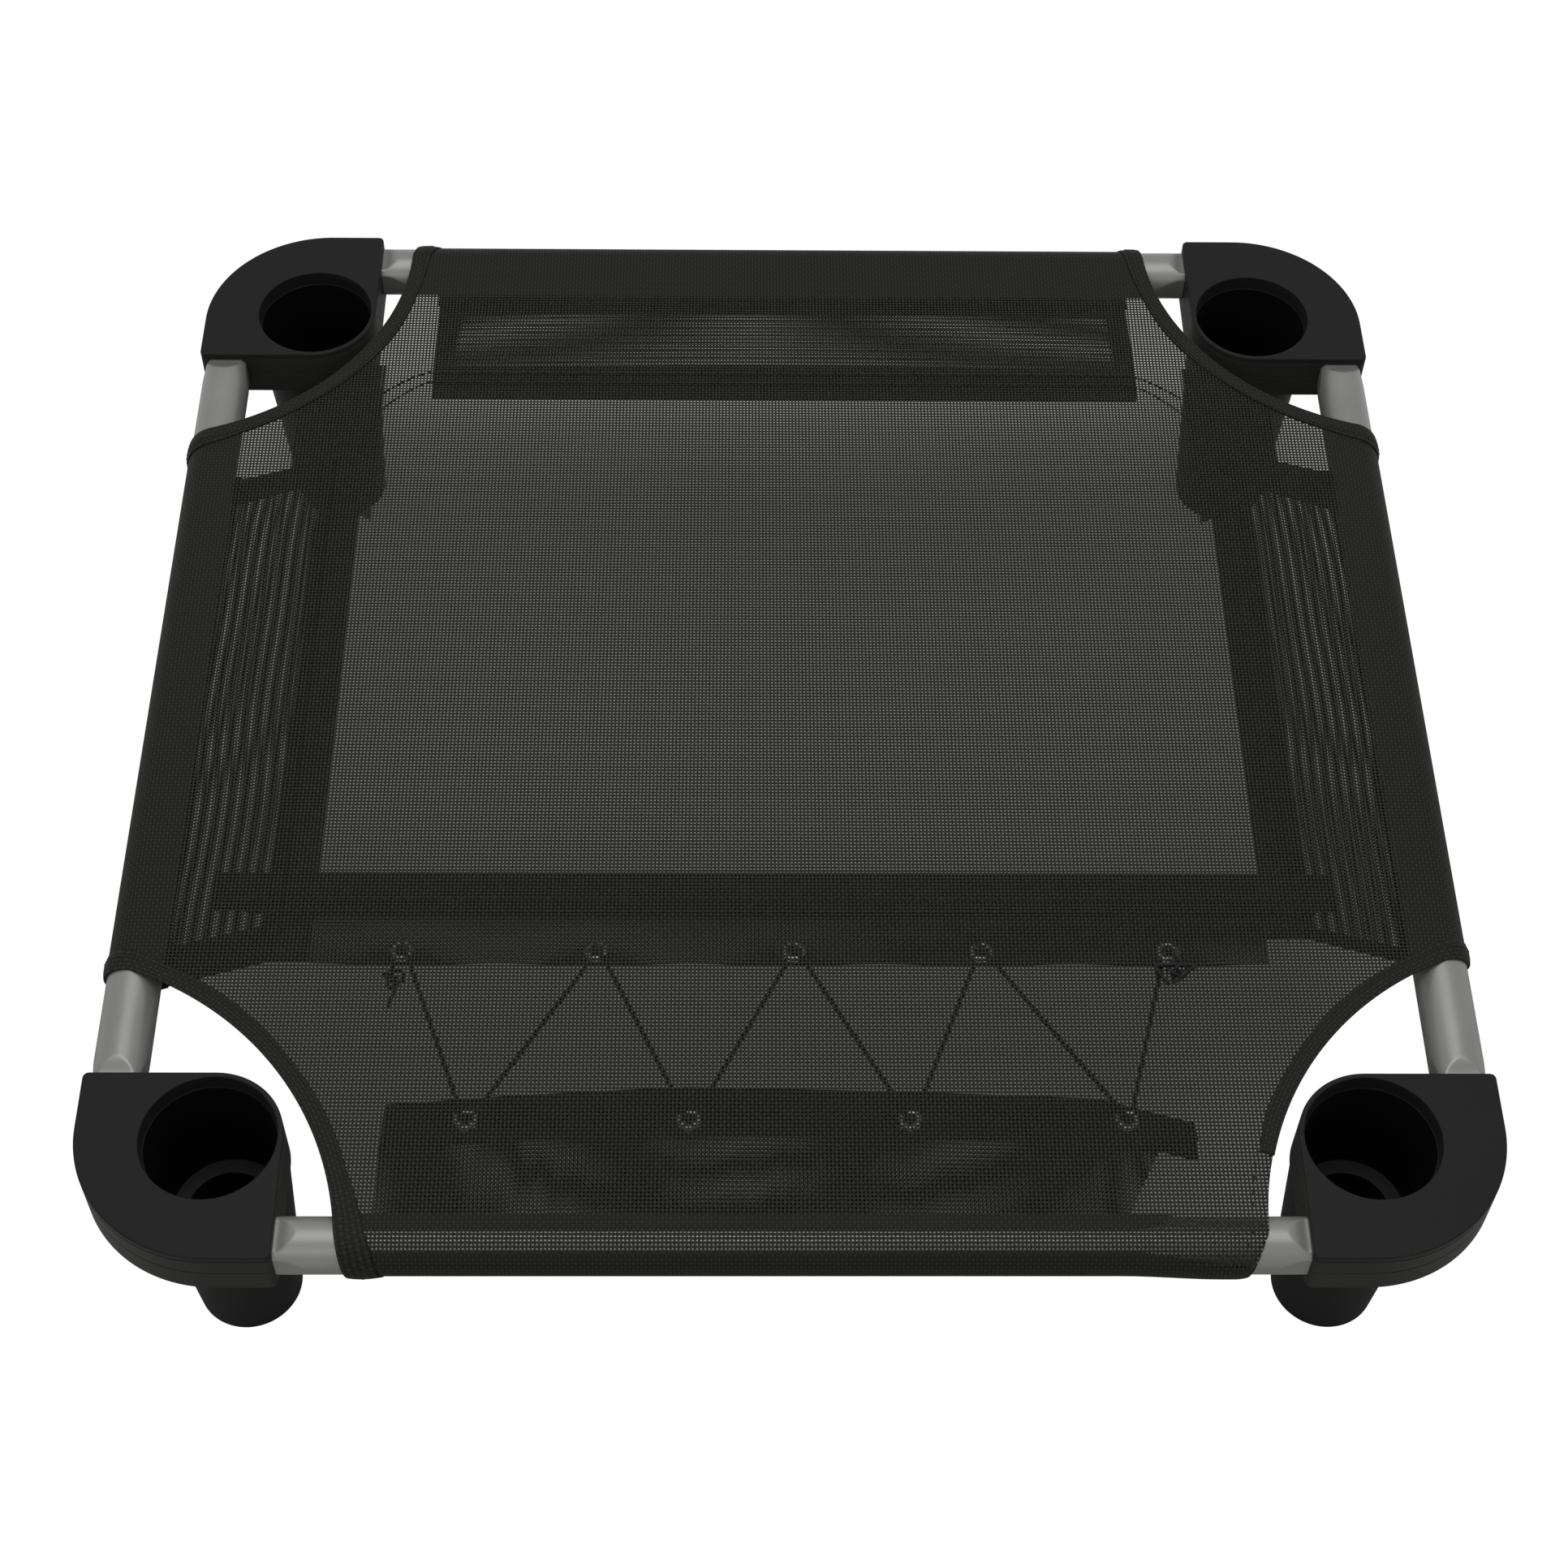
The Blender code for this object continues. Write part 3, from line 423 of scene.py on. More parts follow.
def make_mesh(name, patches, weld=0.0):
    """One mesh of several patches, with their pattern."""
    points, faces, pattern, first = [], [], [], 0
    for place, quads, flat in patches:
        points.append(place)
        if isinstance(quads, np.ndarray):
            faces += (quads + first).tolist()
        else:
            faces += [[corner + first for corner in face] for face in quads]
        pattern.append(flat)
        first += len(place)
    mesh = bpy.data.meshes.new(name)
    mesh.from_pydata(np.concatenate(points).tolist(), [], faces)
    keep_pattern(mesh, "pattern", np.concatenate(pattern))
    if weld:
        bm = bmesh.new()
        bm.from_mesh(mesh)
        bmesh.ops.remove_doubles(bm, verts=bm.verts, dist=weld)
        bm.to_mesh(mesh)
        bm.free()
    mesh.shade_smooth()
    return mesh


def add_object(name, data):
    """An object in the scene, at the origin."""
    made = bpy.data.objects.new(name, data)
    bpy.context.scene.collection.objects.link(made)
    return made


def put(name, mesh, finish, nodes=()):
    """A finished piece, riding on the cot's one body."""
    piece = add_object(name, mesh)
    mesh.materials.clear()
    mesh.materials.append(finish)
    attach(piece, "root")
    if nodes:
        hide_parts(*nodes)
    return piece


def thicken(piece, thickness):
    """Gives a surface its thickness, half on either side."""
    wall = piece.modifiers.new("Wall", "SOLIDIFY")
    wall.thickness = thickness
    wall.offset = 0.0
    wall.use_even_offset = True


def run_length(line):
    """Distance along a line of points, from 0 at its first one."""
    return np.concatenate([[0], np.cumsum(np.linalg.norm(np.diff(line, axis=0), axis=1))])


def along_line(at, length, line):
    """A line's own values at these distances along it."""
    return np.stack([np.interp(at, length, column) for column in line.T], axis=1)


def unit(vectors):
    """Rows of vectors, each made one long."""
    return vectors / np.linalg.norm(vectors, axis=1)[:, None]


def flap_line(turn, ends):
    """Middle line of a flap from its tube's crest: round the tube as far as turn, then through the ends.

    Gives the distance along it, the places (out from the tube's axis, z) and the unit normals.
    """
    bend = np.linspace(0, turn, 49)
    line = np.stack([WRAP * np.sin(bend), TUBE_Z + WRAP * np.cos(bend)], axis=1)
    runs = [line]
    for end in ends:
        start = runs[-1][-1]
        count = max(int(np.hypot(*(np.array(end) - start)) / 0.004), 1) + 1
        runs.append(start + (np.array(end) - start) * np.linspace(0, 1, count)[1:, None])
    line = np.concatenate(runs)
    way = unit(np.gradient(line, axis=0))
    return run_length(line), line, np.stack([-way[:, 1], way[:, 0]], axis=1)


def wrap_end(reach, rise):
    """Angle at which a flap leaves its tube for a point reach inwards and rise above the axis."""
    return math.pi + math.atan2(rise, reach) + math.asin(WRAP / math.hypot(reach, rise))


def turned_under(seam, z, way=(-1.0, 0.0), hem=HEM, fold=END_FOLD):
    """Ends of a flap that is sewn at (seam, z), runs on for a hem and is folded back below itself."""
    way = np.array(way)
    down = np.array([way[1], -way[0]]) if way[0] > 0 else np.array([-way[1], way[0]])
    start = np.array([seam, z])
    tip = start + way * hem
    turn = [tip + LAYER / 2 * (way * math.sin(a) + down * (1 - math.cos(a)))
            for a in np.radians((45, 90, 135, 180))]
    return [start, tip, *turn, turn[-1] - way * fold]


UNDER_Z = BED_Z - LAYER                   # layer sewn under the bed
HEM_Z = UNDER_Z - LAYER
SIDE_TURN = wrap_end(SIDE_SEAM, HEM_Z - TUBE_Z)
BACK_TURN = wrap_end(BACK_SEAM, HEM_Z - TUBE_Z)
LACE_TURN = wrap_end(LACE_SEAM, UNDER_Z - TUBE_Z)
LACE_WAY = np.array([math.cos(LACE_TURN), -math.sin(LACE_TURN)])
LACE_START = np.array([WRAP * math.sin(LACE_TURN), TUBE_Z + WRAP * math.cos(LACE_TURN)])


def lace_point(inward):
    """Place (out from the front tube's axis, z) on the lacing's plane."""
    return LACE_START + LACE_WAY * (-inward - LACE_START[0]) / LACE_WAY[0]


FLAPS = {
    "side": flap_line(SIDE_TURN, turned_under(-SIDE_SEAM, HEM_Z, fold=SIDE_FOLD)),
    "back": flap_line(BACK_TURN, turned_under(-BACK_SEAM, HEM_Z)),
    "front": flap_line(LACE_TURN, turned_under(*lace_point(FRONT_EDGE), LACE_WAY, 0.0004)),
}


def eased(value, low, high):
    """0 below low and 1 above high, with a cubic's soft step between."""
    share = np.clip((value - low) / (high - low), 0, 1)
    return share * share * (3 - 2 * share)


def over_at(side, reach):
    """How far past its tube's crest a flap first comes this far in from the tube's axis."""
    length, line, _ = FLAPS[side]
    return float(length[np.argmax(line[:, 0] <= -reach)])


SIDE_SEAM_AT, BACK_SEAM_AT = over_at("side", SIDE_SEAM), over_at("back", BACK_SEAM)


def on_cloth(x, y, lift=0.0):
    """Places of flat-pattern points: flat on the bed, and past a tube's crest along that side's flap."""
    x, y = np.broadcast_arrays(np.asarray(x, float), np.asarray(y, float))
    lift = np.broadcast_to(lift, x.shape)
    place = np.stack([x, y, BED_Z + lift], axis=-1)
    for axis, limit, past, side in ((0, AXIS_X, x, "side"), (0, AXIS_X, -x, "side"),
                                    (1, AXIS_Y, y, "back"), (1, AXIS_Y, -y, "front")):
        length, line, normal = FLAPS[side]
        over = np.clip(past - limit, 0, length[-1])
        sign = 1.0 if past is x or past is y else -1.0
        out, z = (np.interp(over, length, line[:, k]) + lift * np.interp(over, length, normal[:, k])
                  for k in (0, 1))
        there = past > limit
        place[..., axis] = np.where(there, sign * (limit + out), place[..., axis])
        place[..., 2] = np.where(there, z, place[..., 2])
    return place


def cut_circle(side_end, tube_end, near):
    """Centre and radius of a corner cut-out, through both crests and past the leg's round, as for +X +Y."""
    a = np.array([AXIS_X, side_end])
    b = np.array([CUP_X, CUP_Y]) - (INNER_ROUND + near) / math.sqrt(2)
    c = np.array([tube_end, AXIS_Y])
    centre = np.linalg.solve(2 * np.array([b - a, c - a]), [b @ b - a @ a, c @ c - a @ a])
    return centre, float(np.hypot(*(a - centre)))


CIRCLES = {corner: cut_circle(*cut) for corner, cut in CUTS.items()}


def bed_side(sx, middle_rows=61, corner_rows=33):
    """Points down one side of the bed, front to back: along its tube's crest, and in along both cut-outs."""
    front, back = CUTS[sx, -1][0], CUTS[sx, 1][0]
    share = np.linspace(0, 1, corner_rows)[1:]
    middle = np.linspace(-front, back, middle_rows)
    sides = [np.column_stack([np.full(middle_rows, AXIS_X), middle])]
    for sy, start in ((-1, front), (1, back)):
        centre, radius = CIRCLES[sx, sy]
        y = start + (AXIS_Y - start) * share
        x = centre[0] - np.sqrt(np.maximum(radius ** 2 - (y - centre[1]) ** 2, 0))
        side = np.column_stack([x, sy * y])
        sides = [side[::-1], *sides] if sy < 0 else [*sides, side]
    return np.concatenate(sides) * [sx, 1]


def lace_over(inward):
    """How far past the crest the front flap is where it comes inward of its tube's axis."""
    return WRAP * LACE_TURN + (inward + LACE_START[0]) / -LACE_WAY[0]


# Ends of the flaps along their tubes, by how far past the crest the cloth is
FLAP_ENDS = {
    "left": ((0.0, -CUTS[-1, -1][0], CUTS[-1, 1][0]), (0.076, -0.207, 0.192), (0.170, -0.205, 0.188)),
    "right": ((0.0, -CUTS[1, -1][0], CUTS[1, 1][0]), (0.076, -0.190, 0.203), (0.170, -0.188, 0.196)),
    "back": ((0.0, -CUTS[-1, 1][1], CUTS[1, 1][1]), (0.060, -0.243, 0.242), (0.200, -0.238, 0.237)),
    "front": ((0.0, -CUTS[-1, -1][1], CUTS[1, -1][1]), (0.028, -0.243, 0.248),
              (lace_over(0.026), -0.234, 0.188), (lace_over(0.079), -0.231, 0.2105),
              (lace_over(0.0815), -0.231, 0.2300), (lace_over(FRONT_EDGE), -0.230, 0.2285)),
}
# The front flap's free edge hangs back toward its tube by this much along its width
EDGE_BACK = ((-0.230, 0.006), (-0.150, 0.000), (-0.059, -0.005), (0.067, -0.002), (0.174, 0.002),
             (0.229, 0.017))


def flap_ends(side, over):
    """Where a flap starts and stops along its tube, this far past the crest."""
    past, low, high = np.array(FLAP_ENDS[side]).T
    return np.interp(over, past, low), np.interp(over, past, high)


def hang_back(points, x, over):
    """Slides the front flap back along its own plane by EDGE_BACK, fully at the hem and not at the tube."""
    away = np.interp(x, *np.array(EDGE_BACK).T) * np.clip((over - lace_over(0.0)) / FRONT_EDGE, 0, 1)
    points[..., 1] += away * LACE_WAY[0]
    points[..., 2] -= away * LACE_WAY[1]


def flap_wrinkles(x, over):
    """Lift of the front return's loose folds, and of the slack under its tube at the right end.

    The folds are short waves that lean outwards and die out at both ends.
    """
    inward = (over - lace_over(0.0)) / FRONT_EDGE
    fade = np.clip(inward / 0.25, 0, 1) * np.clip((0.85 - inward) / 0.3, 0, 1)
    lean = x + 0.012 * inward * np.sign(x)
    patchy = 0.5 + 0.5 * np.sin(lean * 31 + 0.8)
    folds = 0.0009 * fade * patchy * np.sin(lean * 240 + 2.0 * np.sin(lean * 47))
    slack = 0.0018 * eased(x, 0.18, 0.235) * eased(over, 0.008, 0.024) * (1 - eased(over, 0.036, 0.056))
    return folds + slack


def make_cover(finish):
    """The sheet of mesh: bed rows as wide as the cut-outs leave them, and four flaps past the crests."""
    across = np.linspace(-1, 1, 81)
    left, right = bed_side(-1)[:, None], bed_side(1)[:, None]
    bed = left + (right - left) * (across[:, None] + 1) / 2
    patches = [patch(on_cloth(bed[..., 0], bed[..., 1]), bed)]
    for side in ("left", "right", "front", "back"):
        over = FLAPS[side if side in FLAPS else "side"][0]
        low, high = flap_ends(side, over)
        along = np.linspace(-1, 1, 61) if side in ("left", "right") else across
        ends = low[:, None] + (high - low)[:, None] * (along + 1) / 2
        past = np.repeat(over[:, None], len(along), axis=1)
        if side in ("left", "right"):
            sign = -1 if side == "left" else 1
            x, y, lift = sign * (AXIS_X + past), ends, 0.0
        else:
            sign = -1 if side == "front" else 1
            x, y = ends, sign * (AXIS_Y + past)
            lift = flap_wrinkles(x, past) if side == "front" else 0.0
        points = on_cloth(x, y, lift)
        points[0] = on_cloth(x, y)[0]
        if side == "front":
            hang_back(points, x, past)
        beyond = np.maximum(past - 0.062, 0)
        if side == "back":
            y = y + 0.155 * beyond - 0.0020 * (x / 0.23) ** 2 * (beyond > 0)
        elif side in ("left", "right"):
            drift = 0.0012 * np.sin(16 * y + 0.6) + 0.0005 * np.sin(43 * y + 2.0)
            x = x + sign * ((0.062 - 0.09 * y) * beyond + drift * eased(past, 0.055, 0.068))
        patches.append(patch(points, np.stack([x, y], axis=-1), flip=side in ("right", "front")))
    mesh = make_mesh("cover_cloth", patches, weld=0.000002)
    cover = put("cover_cloth", mesh, finish, ["mesh_cover"])
    thicken(cover, CLOTH)
    return cover


def edge_path(sx, sy, step=0.0015):
    """Flat-pattern path of a corner's sewn edge, from the side flap's hem to the end flap's hem."""
    side = "left" if sx < 0 else "right"
    end = "front" if sy < 0 else "back"
    centre, radius = CIRCLES[sx, sy]
    side_end, tube_end, _ = CUTS[sx, sy]
    past_side, past_end = np.linspace(EDGE_PAST_SIDE, 0, 60), np.linspace(0, EDGE_PAST_END, 60)
    pick = 1 if sy > 0 else 0
    first = np.stack([AXIS_X + past_side, np.abs(flap_ends(side, past_side)[pick])], axis=1)
    pick = 1 if sx > 0 else 0
    last = np.stack([np.abs(flap_ends(end, past_end)[pick]), AXIS_Y + past_end], axis=1)
    angles = [math.atan2(y - centre[1], x - centre[0]) % (2 * math.pi)
              for x, y in ((AXIS_X, side_end), (tube_end, AXIS_Y))]
    sweep = np.linspace(angles[0], angles[1], 90)
    arc = centre + radius * np.stack([np.cos(sweep), np.sin(sweep)], axis=1)
    path = np.concatenate([first[:-1], arc, last[1:]])
    length = run_length(path)
    at = np.arange(0, length[-1], step)
    path = along_line(at, length, path)
    kernel = np.ones(9) / 9
    way = unit(np.stack([np.convolve(np.pad(column, 4, mode="edge"), kernel, "valid")
                         for column in np.gradient(path, axis=0).T], axis=1))
    inward = np.stack([-way[:, 1], way[:, 0]], axis=1)
    if inward[len(inward) // 2] @ (path[len(path) // 2]) > 0:
        inward = -inward
    return at, path, inward


def make_edge(corner, sx, sy, finish, stop=None, flare=0.003):
    """A strip of mesh folded round the raw edge: its section goes over the cloth, round a nose and under.

    The section is carried along the edge's path in the flat pattern and laid on the cloth. It widens over
    the side tube, and by flare over the end tube, or it tapers where it stops short of that tube.
    """
    at, path, inward = edge_path(sx, sy)
    end_ramp = np.clip((path[:, 1] - AXIS_Y + 0.035) / 0.05, 0, 1)
    if stop is not None:
        keep = path[:, 1] < stop
        at, path, inward = at[keep], path[keep], inward[keep]
        end_ramp = np.clip((at - at[-1] + 0.025) / 0.025, 0, 1)
    side_ramp = np.clip((path[:, 0] - AXIS_X + 0.015) / 0.025, 0, 1)
    width = STRIP + 0.0006 * np.sin(at * 47 + 3 * sx + sy) + 0.003 * side_ramp + flare * end_ramp
    flat = np.linspace(0, 1, 9)
    nose = np.radians(np.linspace(-80, 80, 9))
    reach = np.concatenate([flat[::-1], np.zeros(9), flat])
    side = np.concatenate([np.ones(9), -np.sin(nose), -np.ones(9)])
    out = np.concatenate([np.zeros(9), 0.0007 * np.cos(nose), np.zeros(9)])
    over = np.maximum(path[:, 0] - AXIS_X, 0) + np.maximum(path[:, 1] - AXIS_Y, 0)
    puff = 0.0011 * np.clip(over / 0.012, 0, 1) * np.clip((0.062 - over) / 0.02, 0, 1)
    raised = np.sin(np.pi * np.clip(reach * 0.8 + 0.2, 0, 1))
    lift = (np.where(side > 0, STRIP_UP * side, STRIP_DOWN * side)
            + np.where(side > -0.2, 1, 0) * puff[:, None] * raised)
    inset = width[:, None] * reach - out
    x = sx * (path[:, :1] + inward[:, :1] * inset)
    y = sy * (path[:, 1:] + inward[:, 1:] * inset)
    face = np.sign(np.arange(len(reach)) - (len(reach) - 1) / 2)
    across = STRIP * face * reach
    pattern = np.stack(np.broadcast_arrays(across, at[:, None]), axis=-1)
    name = f"{corner}_edge"
    mesh = make_mesh(name, [patch(on_cloth(x, y, lift), pattern, flip=sx * sy < 0)])
    piece = put(name, mesh, finish, [f"{name}_binding"])
    thicken(piece, STRIP_THICK)
    return piece, (2 * float(width.max()) + 0.0024, float(at[-1]))


def make_corner_patch(side, sign, finish):
    """Second layer under a back corner, from the back flap's hem to the side sleeve."""
    inner_x, outer_x = PATCH_X
    share = np.linspace(0, 1, 41)
    x = inner_x + (outer_x - inner_x) * share
    bottom = PATCH_FRONT + ((PATCH_FRONT_RIGHT if sign > 0 else PATCH_FRONT_LEFT) - PATCH_FRONT) * share
    centre, radius = CIRCLES[sign, 1]
    chord = np.sqrt(np.maximum(radius ** 2 - (x - centre[0]) ** 2, 0))
    top = np.minimum(AXIS_Y - PATCH_BACK, centre[1] - chord - 0.004)
    rows = np.linspace(0, 1, 61)[:, None]
    y = bottom + (top - bottom) * rows
    x = np.broadcast_to(x, y.shape)
    points = np.stack([sign * x, y, np.full_like(y, UNDER_Z)], axis=-1)
    pattern = np.stack([sign * x + 0.0008, y + 0.0011], axis=-1)
    mesh = make_mesh(f"{side}_patch_cloth", [patch(points, pattern, flip=sign < 0)])
    piece = put(f"{side}_patch_cloth", mesh, finish, [f"{side}_corner_patch"])
    thicken(piece, CLOTH)
    return piece, (outer_x - inner_x, float((top - bottom).max()))


def make_band(finish):
    """The lacing band: two layers sewn under the bed, drawn forward to the folded edge with its grommets."""
    seam = AXIS_Y - LACE_SEAM
    upper = np.linspace(seam - BAND_ABOVE, seam, 14)
    free = np.linspace(0, BAND_DROP, 20)[1:]
    slope = math.atan2(-LACE_WAY[1], -LACE_WAY[0])
    line = np.array([(y, UNDER_Z) for y in upper]
                    + [(seam + math.cos(slope) * d, UNDER_Z + math.sin(slope) * d) for d in free])
    below = line[::-1] - [0, LAYER * 0.55]
    nose = (line[-1] + below[0]) / 2 + [0.0005, 0]
    line = np.concatenate([line, [nose], below])
    run = run_length(line)
    along = np.linspace(-1, 1, 161)
    depth = np.clip((line[:, 0] - seam) / BAND_DROP, 0, 1)
    left, right = (sewn + (loose - sewn) * np.minimum(1, depth * 6) * (depth > 0)
                   for sewn, loose in zip(BAND_SEWN_X, BAND_FREE_X))
    x = left[:, None] + (right - left)[:, None] * (along + 1) / 2
    first, last = BAND_GROMMETS_X[0], BAND_GROMMETS_X[-1]
    apart = (last - first) / (len(BAND_GROMMETS_X) - 1)
    scallop = 0.0009 * np.cos((x - first) * 2 * math.pi / apart) * depth[:, None] ** 2
    y = -(line[:, :1] - 0.0015 * depth[:, None] + scallop)
    z = np.broadcast_to(line[:, 1:], x.shape)
    pattern = np.stack([x + 0.0005, np.broadcast_to(run[:, None], x.shape)], axis=-1)
    mesh = make_mesh("lacing_band_cloth", [patch(np.stack([x, y, z], axis=-1), pattern)])
    piece = put("lacing_band_cloth", mesh, finish, ["lacing_band"])
    thicken(piece, CLOTH)
    return piece, (float(x.max() - x.min()), float(run[-1]))


def head_outline(inset, z):
    """Plan of a leg's head drawn in by inset: arcs round the cup, the two end corners and the outside."""
    def arc(cx, cy, radius, start, end, count):
        turn = np.radians(np.linspace(start, end, count + 1))
        return np.stack([cx + radius * np.cos(turn), cy + radius * np.sin(turn)], axis=1)

    face, edge = INNER_ROUND - inset, PLATE_EDGE - inset
    small = max(CORNER_ROUND - inset, 0.0004)
    middle = PLATE_EDGE - OUTER_ROUND
    plan = np.concatenate([arc(0, 0, face, 180, 270, 72),
                           arc(edge - small, small - face, small, 270, 360, 8),
                           arc(middle, middle, OUTER_ROUND - inset, 0, 90, 72),
                           arc(small - face, edge - small, small, 90, 180, 8)])
    return np.column_stack([plan, np.full(len(plan), z)])


def helper(name, rings):
    """A closed solid through rings of as many points each, going up, for a Boolean."""
    rings = np.array(rings)
    count = rings.shape[1]
    mesh = bpy.data.meshes.new(name)
    faces = grid_faces(len(rings), count, round_columns=True).tolist()
    last = (len(rings) - 1) * count
    faces += [list(range(count))[::-1], list(range(last, last + count))]
    mesh.from_pydata(rings.reshape(-1, 3).tolist(), [], faces)
    return add_object(name, mesh)


def turned(name, profile, sides=144):
    """A solid turned about Z through (radius, height), bottom to top."""
    turn = 2 * np.pi * np.arange(sides) / sides
    rings = [np.stack([r * np.cos(turn), r * np.sin(turn), np.full(sides, z)], axis=1) for r, z in profile]
    return helper(name, rings)


def block(name, low, high, turn=0.0):
    """A box between two corners, turned about Z."""
    (x0, y0, z0), (x1, y1, z1) = low, high
    plan = np.array([(x0, y0), (x1, y0), (x1, y1), (x0, y1)])
    c, s = math.cos(turn), math.sin(turn)
    plan = plan @ np.array([[c, s], [-s, c]])
    return helper(name, [np.column_stack([plan, np.full(4, z)]) for z in (z0, z1)])


def post_radius(z):
    """Radius of the taper that the well follows: linear from the foot's to the post's top."""
    return FOOT_RADIUS + (POST_TOP_RADIUS - FOOT_RADIUS) * z / HEAD_Z


def round_profile(centre, radius, start, end, steps):
    """Points (radius, height) on a small round, angles in degrees."""
    return [(centre[0] + radius * math.cos(a), centre[1] + radius * math.sin(a))
            for a in np.radians(np.linspace(start, end, steps + 1))]


TUBE_SIDES = 96


def tube_section(top, side, grow):
    """Points (across, up) round a tube whose top and sides are pressed flat by those shares."""
    radius = TUBE_RADIUS + grow
    turn = 2 * np.pi * (np.arange(TUBE_SIDES) + 0.5) / TUBE_SIDES
    half = radius - side * PRESS_SIDE
    across = np.clip(radius * np.cos(turn), -half, half)
    return across, np.minimum(radius * np.sin(turn), radius - top * PRESS_TOP)


def make_leg_mesh():
    """The corner moulding at a fine resolution: skirted head with its lines, sockets, ribs, cup and post."""
    line_z = HEIGHT - PLATE_LIP
    parting = HEAD_Z + HEAD_HEIGHT / 2
    levels = [(0.0005, HEAD_Z), (0, HEAD_Z + 0.0005)]
    for z, depth, half in ((parting, PARTING_DEPTH, PARTING_HALF), (line_z, LINE_DEPTH, LINE_HALF)):
        levels += [(0, z - half), (depth, z - 0.2 * half), (depth, z + 0.2 * half), (0, z + half)]
    levels += [(EDGE_ROUND * (1 - math.cos(a)), HEIGHT - EDGE_ROUND * (1 - math.sin(a)))
               for a in np.radians(np.linspace(0, 90, 7))]
    leg = helper("leg_body", [head_outline(inset, z) for inset, z in levels])
    tools = []

    def use(tool, operation):
        mod = leg.modifiers.new(operation.title(), "BOOLEAN")
        mod.operation, mod.solver, mod.object = operation, "EXACT", tool
        tools.append(tool)

    cavity = [head_outline(SKIRT_WALL, z) for z in (HEAD_Z - 0.01, HEIGHT - PLATE_THICK)]
    use(helper("cavity", cavity), "DIFFERENCE")
    inside = HEIGHT - PLATE_THICK / 2
    foot = round_profile((FOOT_SHOWN - FOOT_ROUND, FOOT_ROUND), FOOT_ROUND, -90, 0, 6)
    post = [(AXIS_HOLE, 0), *foot, (POST_TOP_RADIUS, HEAD_Z - LAP), (INNER_ROUND - LAP, inside)]
    use(turned("post", post), "UNION")
    near, far = CUP_RADIUS + RIM_WALL / 2, PLATE_EDGE - SKIRT_WALL / 2
    stop = SOCKET_DEPTH - INNER_ROUND + SOCKET_SLACK + SOCKET_WALL
    low, start = HEAD_Z + LAP, -INNER_ROUND + SKIRT_WALL / 2
    use(block("socket_x", (start, near, low), (stop, far, inside)), "UNION")
    use(block("socket_y", (near, start, low + 0.0001), (far, stop, inside)), "UNION")
    middle = PLATE_EDGE - OUTER_ROUND
    reach = OUTER_ROUND - SKIRT_WALL / 2
    corner = math.sqrt(2) * middle + reach
    side = middle + math.sqrt(reach ** 2 - (RIB_OFFSET + RIB_THICK / 2 - middle) ** 2)
    for begin, end, offset, turn in ((near, corner, 0, 45), (near * 0.95, side, RIB_OFFSET, 0),
                                     (near * 0.95, side, -RIB_OFFSET, 90)):
        use(block("rib", (begin, offset - RIB_THICK / 2, HEAD_Z + 3 * SKIRT_WALL),
                  (end, offset + RIB_THICK / 2, inside - 0.0005), math.radians(turn)), "UNION")
    core = post_radius(LEDGE_Z) - POST_WALL - LEDGE_WIDTH
    step_z = HEIGHT - STEP_DEPTH
    ledge = round_profile((core + LEDGE_ROUND, LEDGE_Z - LEDGE_ROUND), LEDGE_ROUND, 180, 90, 4)
    step = round_profile((CUP_RADIUS - STEP_ROUND, step_z - 0.0002), STEP_ROUND, -90, 0, 3)
    rim = round_profile((CUP_RADIUS + RIM_ROUND, HEIGHT - RIM_ROUND), RIM_ROUND, 180, 90, 5)
    cup = [(AXIS_HOLE, FOOT_FLOOR), (core, FOOT_FLOOR), *ledge, (post_radius(LEDGE_Z) - POST_WALL, LEDGE_Z),
           (post_radius(HEAD_Z) - POST_WALL, HEAD_Z), (CUP_RADIUS - STEP, step_z - 0.0008), *step,
           *rim, (CUP_RADIUS + RIM_ROUND, HEIGHT + 0.004)]
    use(turned("cup", cup), "DIFFERENCE")
    across, up = tube_section(1.0, 1.0, SOCKET_SLACK)
    run = np.array([-INNER_ROUND - 0.01, SOCKET_DEPTH - INNER_ROUND + SOCKET_SLACK])
    for axis in (0, 1):
        ends = [np.full(len(across), at) for at in run]
        rings = [np.stack([at, CUP_TO_TUBE + across, TUBE_Z + up] if axis == 0 else
                          [CUP_TO_TUBE - across, at, TUBE_Z + up], axis=1) for at in ends]
        use(helper(f"bore_{axis}", rings), "DIFFERENCE")
    depsgraph = bpy.context.evaluated_depsgraph_get()
    mesh = bpy.data.meshes.new_from_object(leg.evaluated_get(depsgraph), depsgraph=depsgraph)
    for tool in [*tools, leg]:
        bpy.data.objects.remove(tool)
    mesh.shade_smooth()
    mesh.set_sharp_from_angle(angle=math.radians(32))
    flat = np.empty(3 * len(mesh.vertices))
    mesh.vertices.foreach_get("co", flat)
    keep_pattern(mesh, "plan", flat.reshape(-1, 3)[:, :2])
    return mesh


def placed(x, y, z, turn):
    """A turn in degrees about Z, then the place."""
    return Matrix.Translation((x, y, z)) @ Matrix.Rotation(math.radians(turn), 4, "Z")


def make_legs(finish):
    """The four corners, each the same moulding turned by quarters."""
    template = make_leg_mesh()
    places = {"back_right": (1, 1, 0), "back_left": (-1, 1, 90),
              "front_left": (-1, -1, 180), "front_right": (1, -1, 270)}
    for name, (sx, sy, turn) in places.items():
        mesh = template.copy()
        mesh.transform(placed(sx * CUP_X, sy * CUP_Y, 0, turn))
        leg = put(f"{name}_corner", mesh, finish, [f"{name}_leg"])
        normals = leg.modifiers.new("Flat faces stay flat", "WEIGHTED_NORMAL")
        normals.keep_sharp = True
        normals.weight = 100


